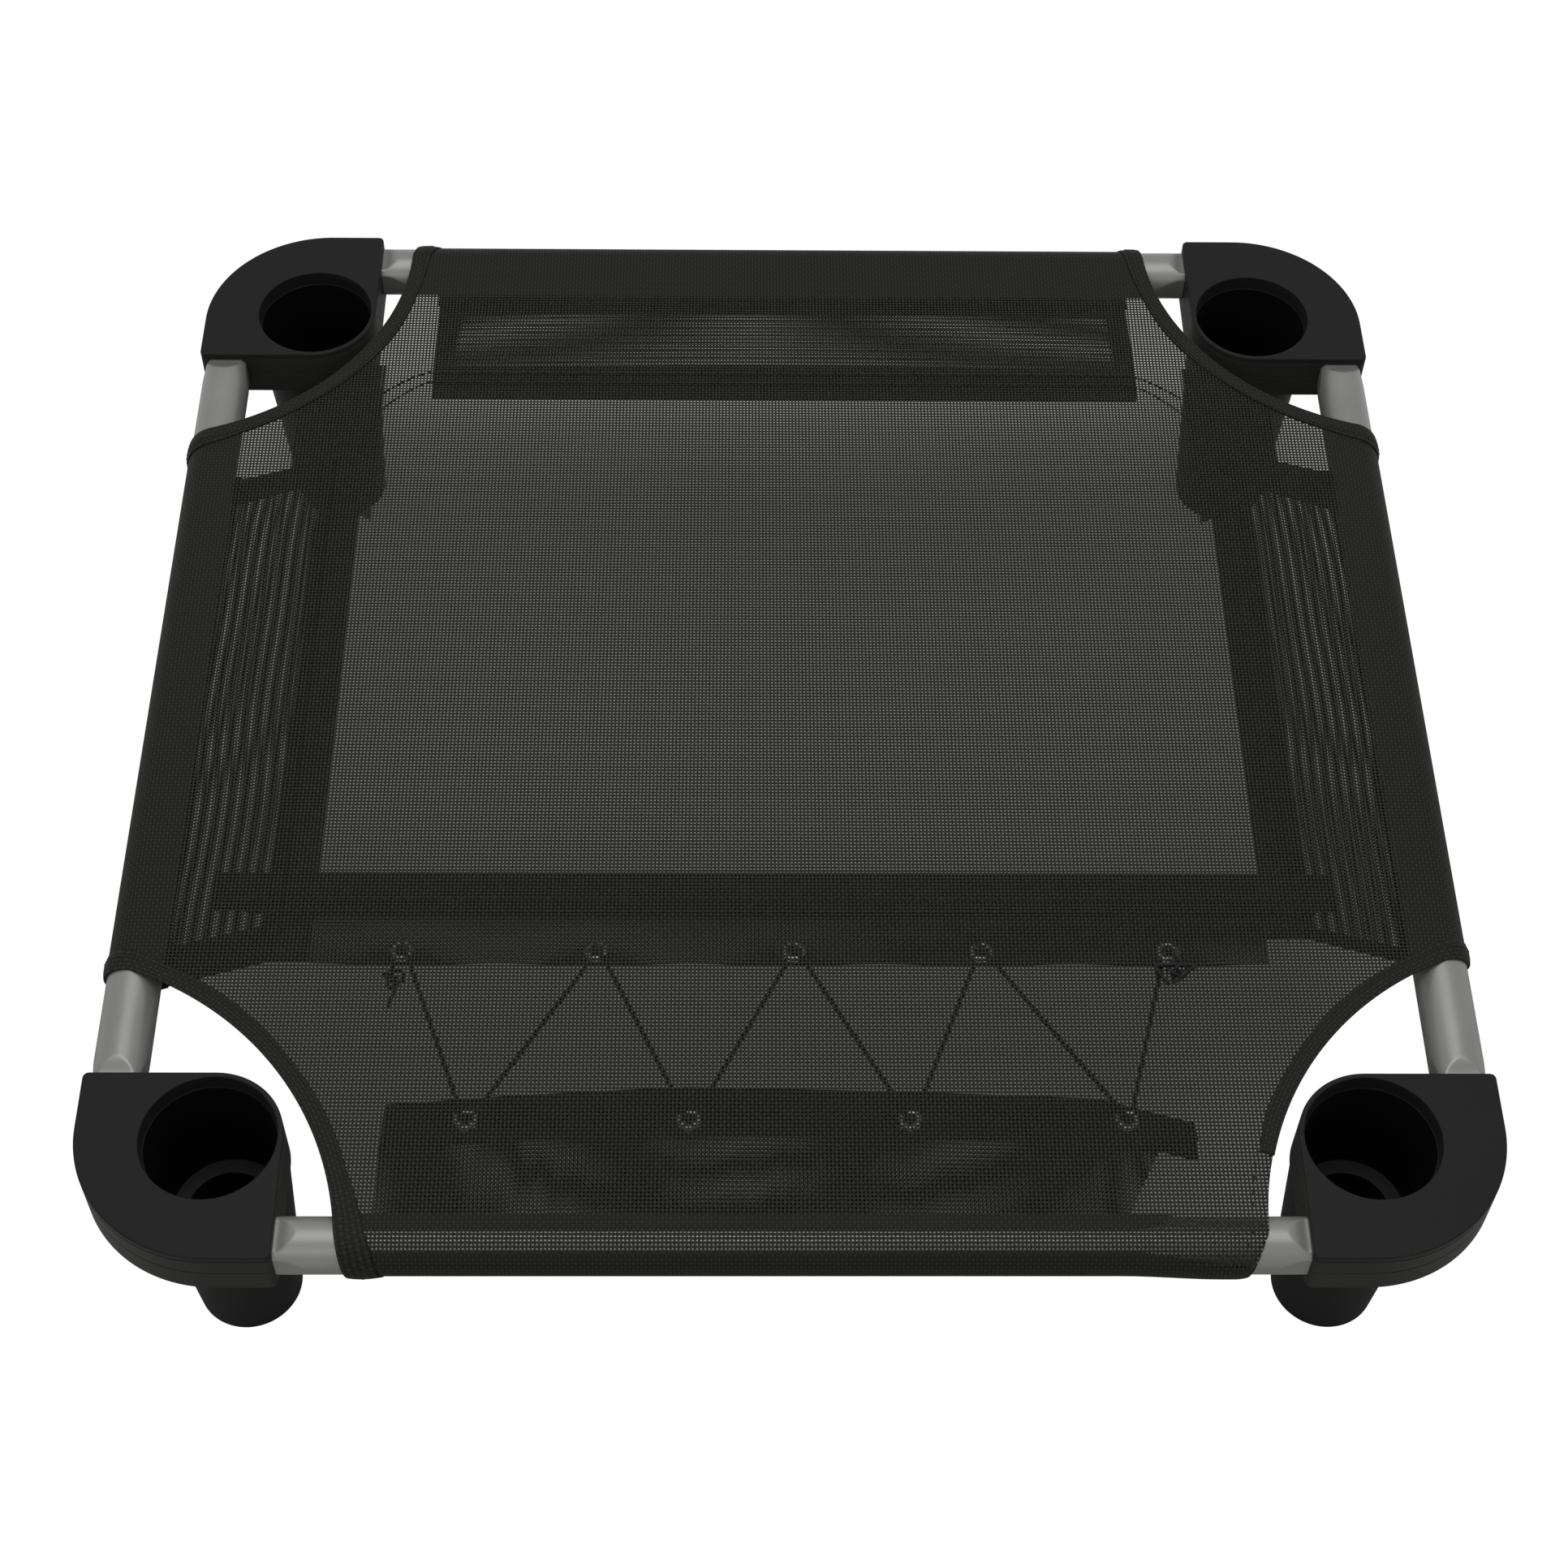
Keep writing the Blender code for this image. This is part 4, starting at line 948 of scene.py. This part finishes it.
def make_tubes(finish):
    """Four tubes: a round section carried along the axis, pressed flat towards both ends, with its wall."""
    entry = TUBE_END - SOCKET_DEPTH - 0.001
    near = entry - PRESS_SIDE_RUN * np.linspace(0, 1, 41)
    middle = np.linspace(near[-1], -near[-1], 60)[1:-1]
    along = np.concatenate([[-TUBE_END], -near, middle[::-1], near[::-1], [TUBE_END]])
    past = np.clip(np.abs(along) - entry, -1, 0)
    top, side = (eased(past, -run, 0) for run in (PRESS_RUN, PRESS_SIDE_RUN))
    outer, inner = (np.array([np.column_stack([np.full(TUBE_SIDES, x), *tube_section(t, s, grow)])
                              for x, t, s in zip(along, top, side)]) for grow in (0.0, -TUBE_WALL))
    points = np.concatenate([outer, inner[::-1]])
    places = {"front": (0, -AXIS_Y, 0), "back": (0, AXIS_Y, 0),
              "left": (-AXIS_X, 0, 90), "right": (AXIS_X, 0, 90)}
    for name, (x, y, turn) in places.items():
        mesh = make_mesh(f"{name}_steel", [patch(points, round_rows=True, round_columns=True)])
        mesh.transform(placed(x, y, TUBE_Z, turn))
        mesh.set_sharp_from_angle(angle=math.radians(35))
        put(f"{name}_steel", mesh, finish, [f"{name}_tube"])


def eyelet_frame(x, inward):
    """Place and tilt of a grommet on the lacing's plane, inward of the front tube's axis."""
    out, z = lace_point(inward)
    slope = math.atan2(-LACE_WAY[1], -LACE_WAY[0])
    return Matrix.Translation((x, -(AXIS_Y + out), z)) @ Matrix.Rotation(slope, 4, "X")


BAND_IN = LACE_SEAM - BAND_DROP + BAND_INSET
FLAP_IN = FRONT_EDGE - FLAP_INSET


def make_grommets(finish):
    """Two-part grommets: a rolled flange above, a barrel and a flatter washer below, turned about an axis."""
    top = GROMMET_FACE + GROMMET_LIP
    middle = (GROMMET_RADIUS + GROMMET_HOLE) / 2
    reach = (GROMMET_RADIUS - GROMMET_HOLE) / 2
    roll = np.radians(np.linspace(0, 180, 13))
    upper = [(middle + reach * math.cos(a), GROMMET_FACE + 0.0011 * math.sin(a)) for a in roll]
    lower = [(GROMMET_HOLE, -top), (GROMMET_HOLE + 0.0006, -top - 0.0003),
             (GROMMET_RADIUS - 0.0006, -top - 0.0002), (GROMMET_RADIUS, -top + 0.0001),
             (GROMMET_RADIUS - 0.0003, -GROMMET_FACE), (GROMMET_BARREL, -GROMMET_FACE),
             (GROMMET_BARREL, GROMMET_FACE), (GROMMET_RADIUS - 0.0002, GROMMET_FACE)]
    profile = np.array(upper + lower)
    turn = 2 * np.pi * np.arange(48) / 48
    points = np.stack([profile[:, :1] * np.cos(turn), profile[:, :1] * np.sin(turn),
                       np.broadcast_to(profile[:, 1:], (len(profile), 48))], axis=-1)
    made = {"band": [], "flap": []}
    for kind, places, inward in (("band", BAND_GROMMETS_X, BAND_IN), ("flap", FLAP_GROMMETS_X, FLAP_IN)):
        for number, x in enumerate(places, 1):
            name = f"{kind}_eyelet_{number}"
            mesh = make_mesh(name, [patch(points, round_rows=True, round_columns=True)])
            mesh.set_sharp_from_angle(angle=math.radians(50))
            mesh.transform(eyelet_frame(x, inward))
            made[kind].append(put(name, mesh, finish, [f"{kind}_grommet_{number}"]))
    return made


def smooth_path(route, step):
    """Even points along a Catmull-Rom curve through the route's own points."""
    route = np.array(route)
    padded = np.concatenate([[2 * route[0] - route[1]], route, [2 * route[-1] - route[-2]]])
    share = np.linspace(0, 1, 12, endpoint=False)[:, None]
    runs = []
    for k in range(len(route) - 1):
        a, b, c, d = padded[k:k + 4]
        runs.append(0.5 * (2 * b + (c - a) * share + (2 * a - 5 * b + 4 * c - d) * share ** 2
                           + (3 * b - a - 3 * c + d) * share ** 3))
    line = np.concatenate([*runs, route[-1:]])
    length = run_length(line)
    at = np.linspace(0, length[-1], max(int(length[-1] / step), 2) + 1)
    return along_line(at, length, line), at


def cord_surface(route, radius, step=0.0007):
    """Three strands laid together: a three-lobed section turned as it is carried along the route.

    The section's radius is a constant plus a cosine of three times its angle, and its frame is kept
    from twisting by carrying each ring's side vector square to the next direction.
    """
    line, at = smooth_path(route, step)
    way = unit(np.gradient(line, axis=0))
    side = np.empty_like(way)
    last = np.cross(way[0], (0, 0, 1.0))
    if np.linalg.norm(last) < 0.1:
        last = np.cross(way[0], (1.0, 0, 0))
    for k, direction in enumerate(way):
        last = last - direction * (last @ direction)
        last /= np.linalg.norm(last)
        side[k] = last
    other = np.cross(way, side)
    turn = 2 * np.pi * np.arange(18) / 18
    angle = turn + 2 * np.pi * at[:, None] / CORD_LAY
    lobe = radius * (0.86 + 0.14 * np.cos(3 * turn))
    fade = np.sqrt(np.clip(np.minimum(at, at[-1] - at) / radius, 0.02, 1))[:, None]
    points = line[:, None] + fade[..., None] * lobe[:, None] * (np.cos(angle)[..., None] * side[:, None]
                                                                + np.sin(angle)[..., None] * other[:, None])
    pattern = np.stack(np.broadcast_arrays(turn * radius, at[:, None]), axis=-1)
    places, faces, pattern = patch(points, pattern, round_columns=True)
    last = len(places) - len(turn)
    faces = faces.tolist() + [list(range(len(turn)))[::-1], list(range(last, len(places)))]
    return places, faces, pattern


def knot_point(t, side):
    """Point of an end knot, a three-lobed turn, from its grommet. The left one (-1) is under the band."""
    return Vector((side * 2.4 * CORD_RADIUS + KNOT_SIZE * (math.sin(t) + 2 * math.sin(2 * t)),
                   -KNOT_REACH + KNOT_SIZE * (math.cos(t) - 2 * math.cos(2 * t)),
                   side * CORD_TURN - KNOT_RISE * math.sin(3 * t)))


def cord_route():
    """The lacing's own points: up through each band grommet and down through each one of the flap."""
    stops = []
    for k, x in enumerate(BAND_GROMMETS_X):
        stops.append((x, BAND_IN, 1))
        if k < len(FLAP_GROMMETS_X):
            stops.append((FLAP_GROMMETS_X[k], FLAP_IN, -1))
    lip = GROMMET_HOLE + 0.0003
    route = []
    for x, inward, rising in stops:
        place = eyelet_frame(x, inward)
        toward = -1 if rising > 0 else 1
        for turn in np.radians(np.linspace(-90, 90, 7)):
            across = 2 * CORD_RADIUS * turn / (math.pi / 2)
            route.append(place @ Vector((across, toward * (lip - CORD_TURN * math.cos(turn)),
                                         rising * CORD_TURN * math.sin(turn))))
    lobe = math.acos(1 / 8)
    seat = Vector((0, KNOT_CORD + 0.0003, 0))
    route.insert(0, eyelet_frame(BAND_GROMMETS_X[0], BAND_IN) @ (knot_point(-lobe, -1) + seat))
    route.append(eyelet_frame(BAND_GROMMETS_X[-1], BAND_IN) @ (knot_point(lobe, 1) + seat))
    return [tuple(p) for p in route]


def make_cord(finish):
    """The lacing, held by its grommets from end to end, and the two knots with their short tails."""
    lacing = make_mesh("twisted_lacing", [cord_surface(cord_route(), CORD_RADIUS)])
    put("twisted_lacing", lacing, finish, ["lacing_cord"])
    tails = {"left": ((-0.0010, -0.0215, -0.0040), (-0.0032, -0.0300, -0.0046), (-0.0058, -0.0385, -0.0060)),
             "right": ((0.0110, -0.0165, 0.0040), (0.0142, -0.0146, 0.0042), (0.0080, -0.0132, 0.0046),
                       (-0.0060, -0.0140, 0.0046), (-0.0088, -0.0152, 0.0044), (-0.0060, -0.0215, 0.0040),
                       (-0.0018, -0.0270, 0.0034))}
    for name, x, side in (("left", BAND_GROMMETS_X[0], -1), ("right", BAND_GROMMETS_X[-1], 1)):
        place = eyelet_frame(x, BAND_IN)
        loop = [place @ knot_point(t, side) for t in np.linspace(-0.9 * math.pi, 0.9 * math.pi, 40)]
        loop += [place @ Vector(point) for point in tails[name]]
        knot = make_mesh(f"{name}_knot", [cord_surface([tuple(p) for p in loop], KNOT_CORD, step=0.0004)])
        put(f"{name}_knot", knot, finish, [f"{name}_cord_knot"])


def stitch_row(line, normal, stitch=SEAM_STITCH):
    """Stitches along a line: each a six-sided lozenge that swells in the middle, laid on the cloth."""
    pitch, long, wide = stitch
    length = run_length(line)
    at = np.arange(pitch / 2, length[-1], pitch)
    centre, up = along_line(at, length, line), along_line(at, length, normal)
    way = unit(along_line(at + 0.0004, length, line) - along_line(at - 0.0004, length, line))
    side = unit(np.cross(up, way))
    ring = 2 * np.pi * np.arange(6) / 6
    share = np.array([-1.0, -0.75, 0.0, 0.75, 1.0])
    swell = np.array([0.25, 0.8, 1.0, 0.8, 0.25])
    points = (centre[:, None, None] + way[:, None, None] * (share * long / 2)[:, None, None]
              + wide * swell[:, None, None] * (np.cos(ring)[:, None] * side[:, None, None]
                                               + np.sin(ring)[:, None] * up[:, None, None]))
    count = len(share) * len(ring)
    tube = grid_faces(len(share), len(ring), round_columns=True)
    last = count - len(ring)
    ends = np.array([[3, 2, 1, 0], [5, 4, 3, 0], [last, last + 1, last + 2, last + 3],
                     [last, last + 3, last + 4, last + 5]])
    one = np.concatenate([tube, ends])
    faces = (one[None] + (np.arange(len(at)) * count)[:, None, None]).reshape(-1, 4)
    return points.reshape(-1, 3), faces, np.zeros((len(at) * count, 2))


def cloth_row(x, y, lift):
    """A stitch line on the cloth from flat-pattern points, with its normals."""
    low, high = on_cloth(x, y, lift), on_cloth(x, y, lift + 0.001)
    return low, (high - low) / 0.001


def make_stitches(finish):
    """Every row of sewing, in two pieces: the edges, and the hems and seams with the lacing band."""
    top = CLOTH / 2 + 0.0002
    edges, seams = [], []
    for sx in (-1, 1):
        for sy in (-1, 1):
            _, path, inward = edge_path(sx, sy)
            over = np.maximum(path[:, 0] - AXIS_X, 0) + np.maximum(path[:, 1] - AXIS_Y, 0)
            lift = STRIP_UP + STRIP_THICK / 2 + 0.0001 + 0.0008 * np.clip(over / 0.012, 0, 1)
            inset = path + inward * (STRIP - 0.0022)
            bound = np.full(len(path), True)
            if (sx, sy) == (1, -1):
                bound = path[:, 1] < STRIP_END - 0.004
                shown = ~bound & (path[:, 1] < AXIS_Y + 0.012)
                bare = path[shown] + inward[shown] * 0.0085
                edges.append(stitch_row(*cloth_row(bare[:, 0], -bare[:, 1], top), BARE_STITCH))
            edges.append(stitch_row(*cloth_row(sx * inset[bound, 0], sy * inset[bound, 1], lift[bound])))
    side = np.linspace(*SIDE_ROWS_Y, 200)
    for x in SIDE_ROWS_X:
        seams.append(stitch_row(*cloth_row(np.full_like(side, x), side, top)))
    across = np.linspace(*BACK_ROWS_X, 200)
    beyond = np.linspace(0, 1, 30)[1:]
    far_left, far_right = BACK_ROWS_BEYOND
    for y, drop in BACK_ROWS:
        left = np.stack([across[0] - far_left * beyond, y - drop * beyond ** 1.5], axis=1)
        right = np.stack([across[-1] + far_right * beyond, y - (drop + 0.006) * beyond ** 1.5], axis=1)
        line = np.concatenate([left[::-1], np.stack([across, np.full_like(across, y)], axis=1), right])
        seams.append(stitch_row(*cloth_row(line[:, 0], line[:, 1], top), ROW_STITCH))
    band = np.linspace(*BAND_ROWS_X, 300)
    for y in BAND_ROWS_Y:
        seams.append(stitch_row(*cloth_row(band, np.full_like(band, y), top)))
    return [put(name, make_mesh(name, rows), finish)
            for name, rows in (("edge_stitches", edges), ("seam_stitches", seams))]


def make_camera():
    """The photograph's view: a long lens in front of the cot, looking down on it."""
    pitch, yaw, roll = (math.radians(a) for a in (53.5609, 1.3956, 1.2612))
    forward = Vector((math.sin(yaw) * math.cos(pitch), math.cos(yaw) * math.cos(pitch), -math.sin(pitch)))
    right = Vector((math.cos(yaw), -math.sin(yaw), 0))
    up = right.cross(forward)
    side = math.cos(roll) * right + math.sin(roll) * up
    above = math.cos(roll) * up - math.sin(roll) * right
    data = bpy.data.cameras.new("view")
    data.sensor_width, data.lens = 36.0, 64.812
    camera = add_object("view", data)
    turn = Matrix((side, above, -forward)).transposed().to_4x4()
    camera.matrix_world = Matrix.Translation((-0.027826, -1.094761, 1.551739)) @ turn
    bpy.context.scene.camera = camera


def add_light(name, size, power, place, aim):
    """A soft rectangular lamp that points at aim."""
    data = bpy.data.lights.new(name, "AREA")
    data.shape = "RECTANGLE"
    data.size, data.size_y = size
    data.energy = power
    lamp = add_object(name, data)
    lamp.location = place
    lamp.rotation_euler = (Vector(aim) - Vector(place)).to_track_quat("-Z", "Y").to_euler()


SEEN = ("Is Camera Ray", "Is Glossy Ray", "Is Transmission Ray")


def any_of(values):
    """The greatest of some shares."""
    total = values[0]
    for value in values[1:]:
        total = total.of("MAXIMUM", value)
    return total


def make_world():
    """White where it is seen, also in a reflection, and a plain fill of light elsewhere."""
    world = bpy.data.worlds.new("studio")
    bpy.context.scene.world = world
    world.use_nodes = True
    nodes, links = world.node_tree.nodes, world.node_tree.links
    nodes.clear()
    rays = nodes.new("ShaderNodeLightPath")
    seen = rays.outputs[SEEN[0]]
    for ray in SEEN[1:]:
        either = nodes.new("ShaderNodeMath")
        either.operation = "MAXIMUM"
        links.new(seen, either.inputs[0])
        links.new(rays.outputs[ray], either.inputs[1])
        seen = either.outputs[0]
    fill, white = nodes.new("ShaderNodeBackground"), nodes.new("ShaderNodeBackground")
    fill.inputs["Strength"].default_value = FILL
    white.inputs["Color"].default_value = (1, 1, 1, 1)
    both, out = nodes.new("ShaderNodeMixShader"), nodes.new("ShaderNodeOutputWorld")
    for number, source in enumerate((seen, fill.outputs[0], white.outputs[0])):
        links.new(source, both.inputs[number])
    links.new(both.outputs[0], out.inputs[0])


def make_floor():
    """Pale floor. It shows white past the cot, its shadow under the middle, and through the weave a glowing
    grey that is painted shade and light.

    Gloss near the floor shows the floor as it is lit, with the cot's shadow on it. From below it is clear.
    """
    floor = Finish("pale_floor", (0.62, 0.62, 0.61), 0.9)
    floor.set("Specular IOR Level", 0.1)
    x, y = (floor.node("SeparateXYZ", None, {0: floor.place()}, out=axis) for axis in (0, 1))
    away = (x * x + y * y).of("SQRT")
    shadow = 1 - floor.smooth(away, 0.20, 0.32)
    through = floor.smooth(floor.node("LightPath", out="Transparent Depth"), 0.3, 0.7)
    aside = x.of("ABSOLUTE")
    # Painted shade and light on the floor seen through the weave: darker under the front and middle, lighter
    # to the back, the sides and the right front
    grey = (0.115 + 0.07 * floor.smooth(y, -0.12, 0.10) + 0.06 * floor.smooth(y, 0.30, 0.38)
            + 0.25 * floor.smooth(y, 0.37, 0.46) + 0.06 * floor.smooth(aside, 0.32, 0.39)
            + 0.12 * floor.smooth(aside, 0.33, 0.39) * floor.smooth(y, -0.05, 0.33)
            + 0.07 * floor.smooth(x, 0.20, 0.30) * (1 - floor.smooth(y, -0.22, -0.12)))
    tone = floor.node("CombineColor", None, {0: grey, 1: grey, 2: grey * 0.95})
    painted_floor_shade = floor.node("Emission", None, {"Color": tone, "Strength": 1.0})
    glow = floor.node("Emission", None, {"Color": (1, 1, 1, 1), "Strength": 1.0})
    seen = any_of([floor.node("LightPath", out=ray) for ray in SEEN])
    close = floor.node("LightPath", out="Is Glossy Ray") * (1 - floor.smooth(away, 0.55, 0.90))
    lit = Value(floor, floor.shader.outputs[0])
    veiled = floor.node("MixShader", None, {0: through * seen * 0.75, 1: lit, 2: painted_floor_shade})
    bare = 1 - any_of([shadow, through, close])
    shown = floor.node("MixShader", None, {0: seen * bare, 1: veiled, 2: glow})
    below = floor.node("NewGeometry", out="Backfacing")
    clear = floor.node("BsdfTransparent", None, {0: (1, 1, 1, 1)})
    whole = floor.node("MixShader", None, {0: below, 1: shown, 2: clear})
    floor.plug(floor.nodes["Material Output"].inputs[0], whole)
    mesh = bpy.data.meshes.new("floor")
    corners = [(x, y, FLOOR_Z) for x, y in ((-4, -4), (4, -4), (4, 4), (-4, 4))]
    mesh.from_pydata(corners, [], [(0, 1, 2, 3)])
    mesh.materials.append(floor.material)
    add_object("floor", mesh)


def make_studio():
    """Soft lamps, a white world and the floor."""
    add_light("overhead", (1.6, 1.6), 24.0, (0.0, 0.1, 2.1), (0, 0, 0))
    add_light("front", (1.8, 0.8), 6.0, (-0.5, -2.0, 1.5), (0, 0, 0.1))
    make_world()
    make_floor()
    bpy.context.scene.view_settings.view_transform = "Standard"
    bpy.context.scene.cycles.transparent_max_bounces = 48


make_camera()
COVER = weave_finish("open_weave", "cover")
LAYER_CLOTH = weave_finish("layer_weave", 0.6)
BOUND = weave_finish("bound_weave", 0)
THREAD = thread_finish("black_thread", (0.006, 0.006, 0.006))
CORD = thread_finish("black_cord", (0.007, 0.007, 0.007))
cover = make_cover(COVER)
edges = [make_edge("front_left", -1, -1, BOUND, flare=0.008),
         make_edge("front_right", 1, -1, BOUND, stop=STRIP_END, flare=-0.003),
         make_edge("back_left", -1, 1, BOUND),
         make_edge("back_right", 1, 1, BOUND)]
patches = [make_corner_patch("back_left", -1, LAYER_CLOTH), make_corner_patch("back_right", 1, LAYER_CLOTH)]
band = make_band(LAYER_CLOTH)
sewing = make_stitches(THREAD)
make_legs(plastic_finish())
make_tubes(steel_finish())
eyelets = make_grommets(nickel_finish())
make_cord(CORD)
make_studio()
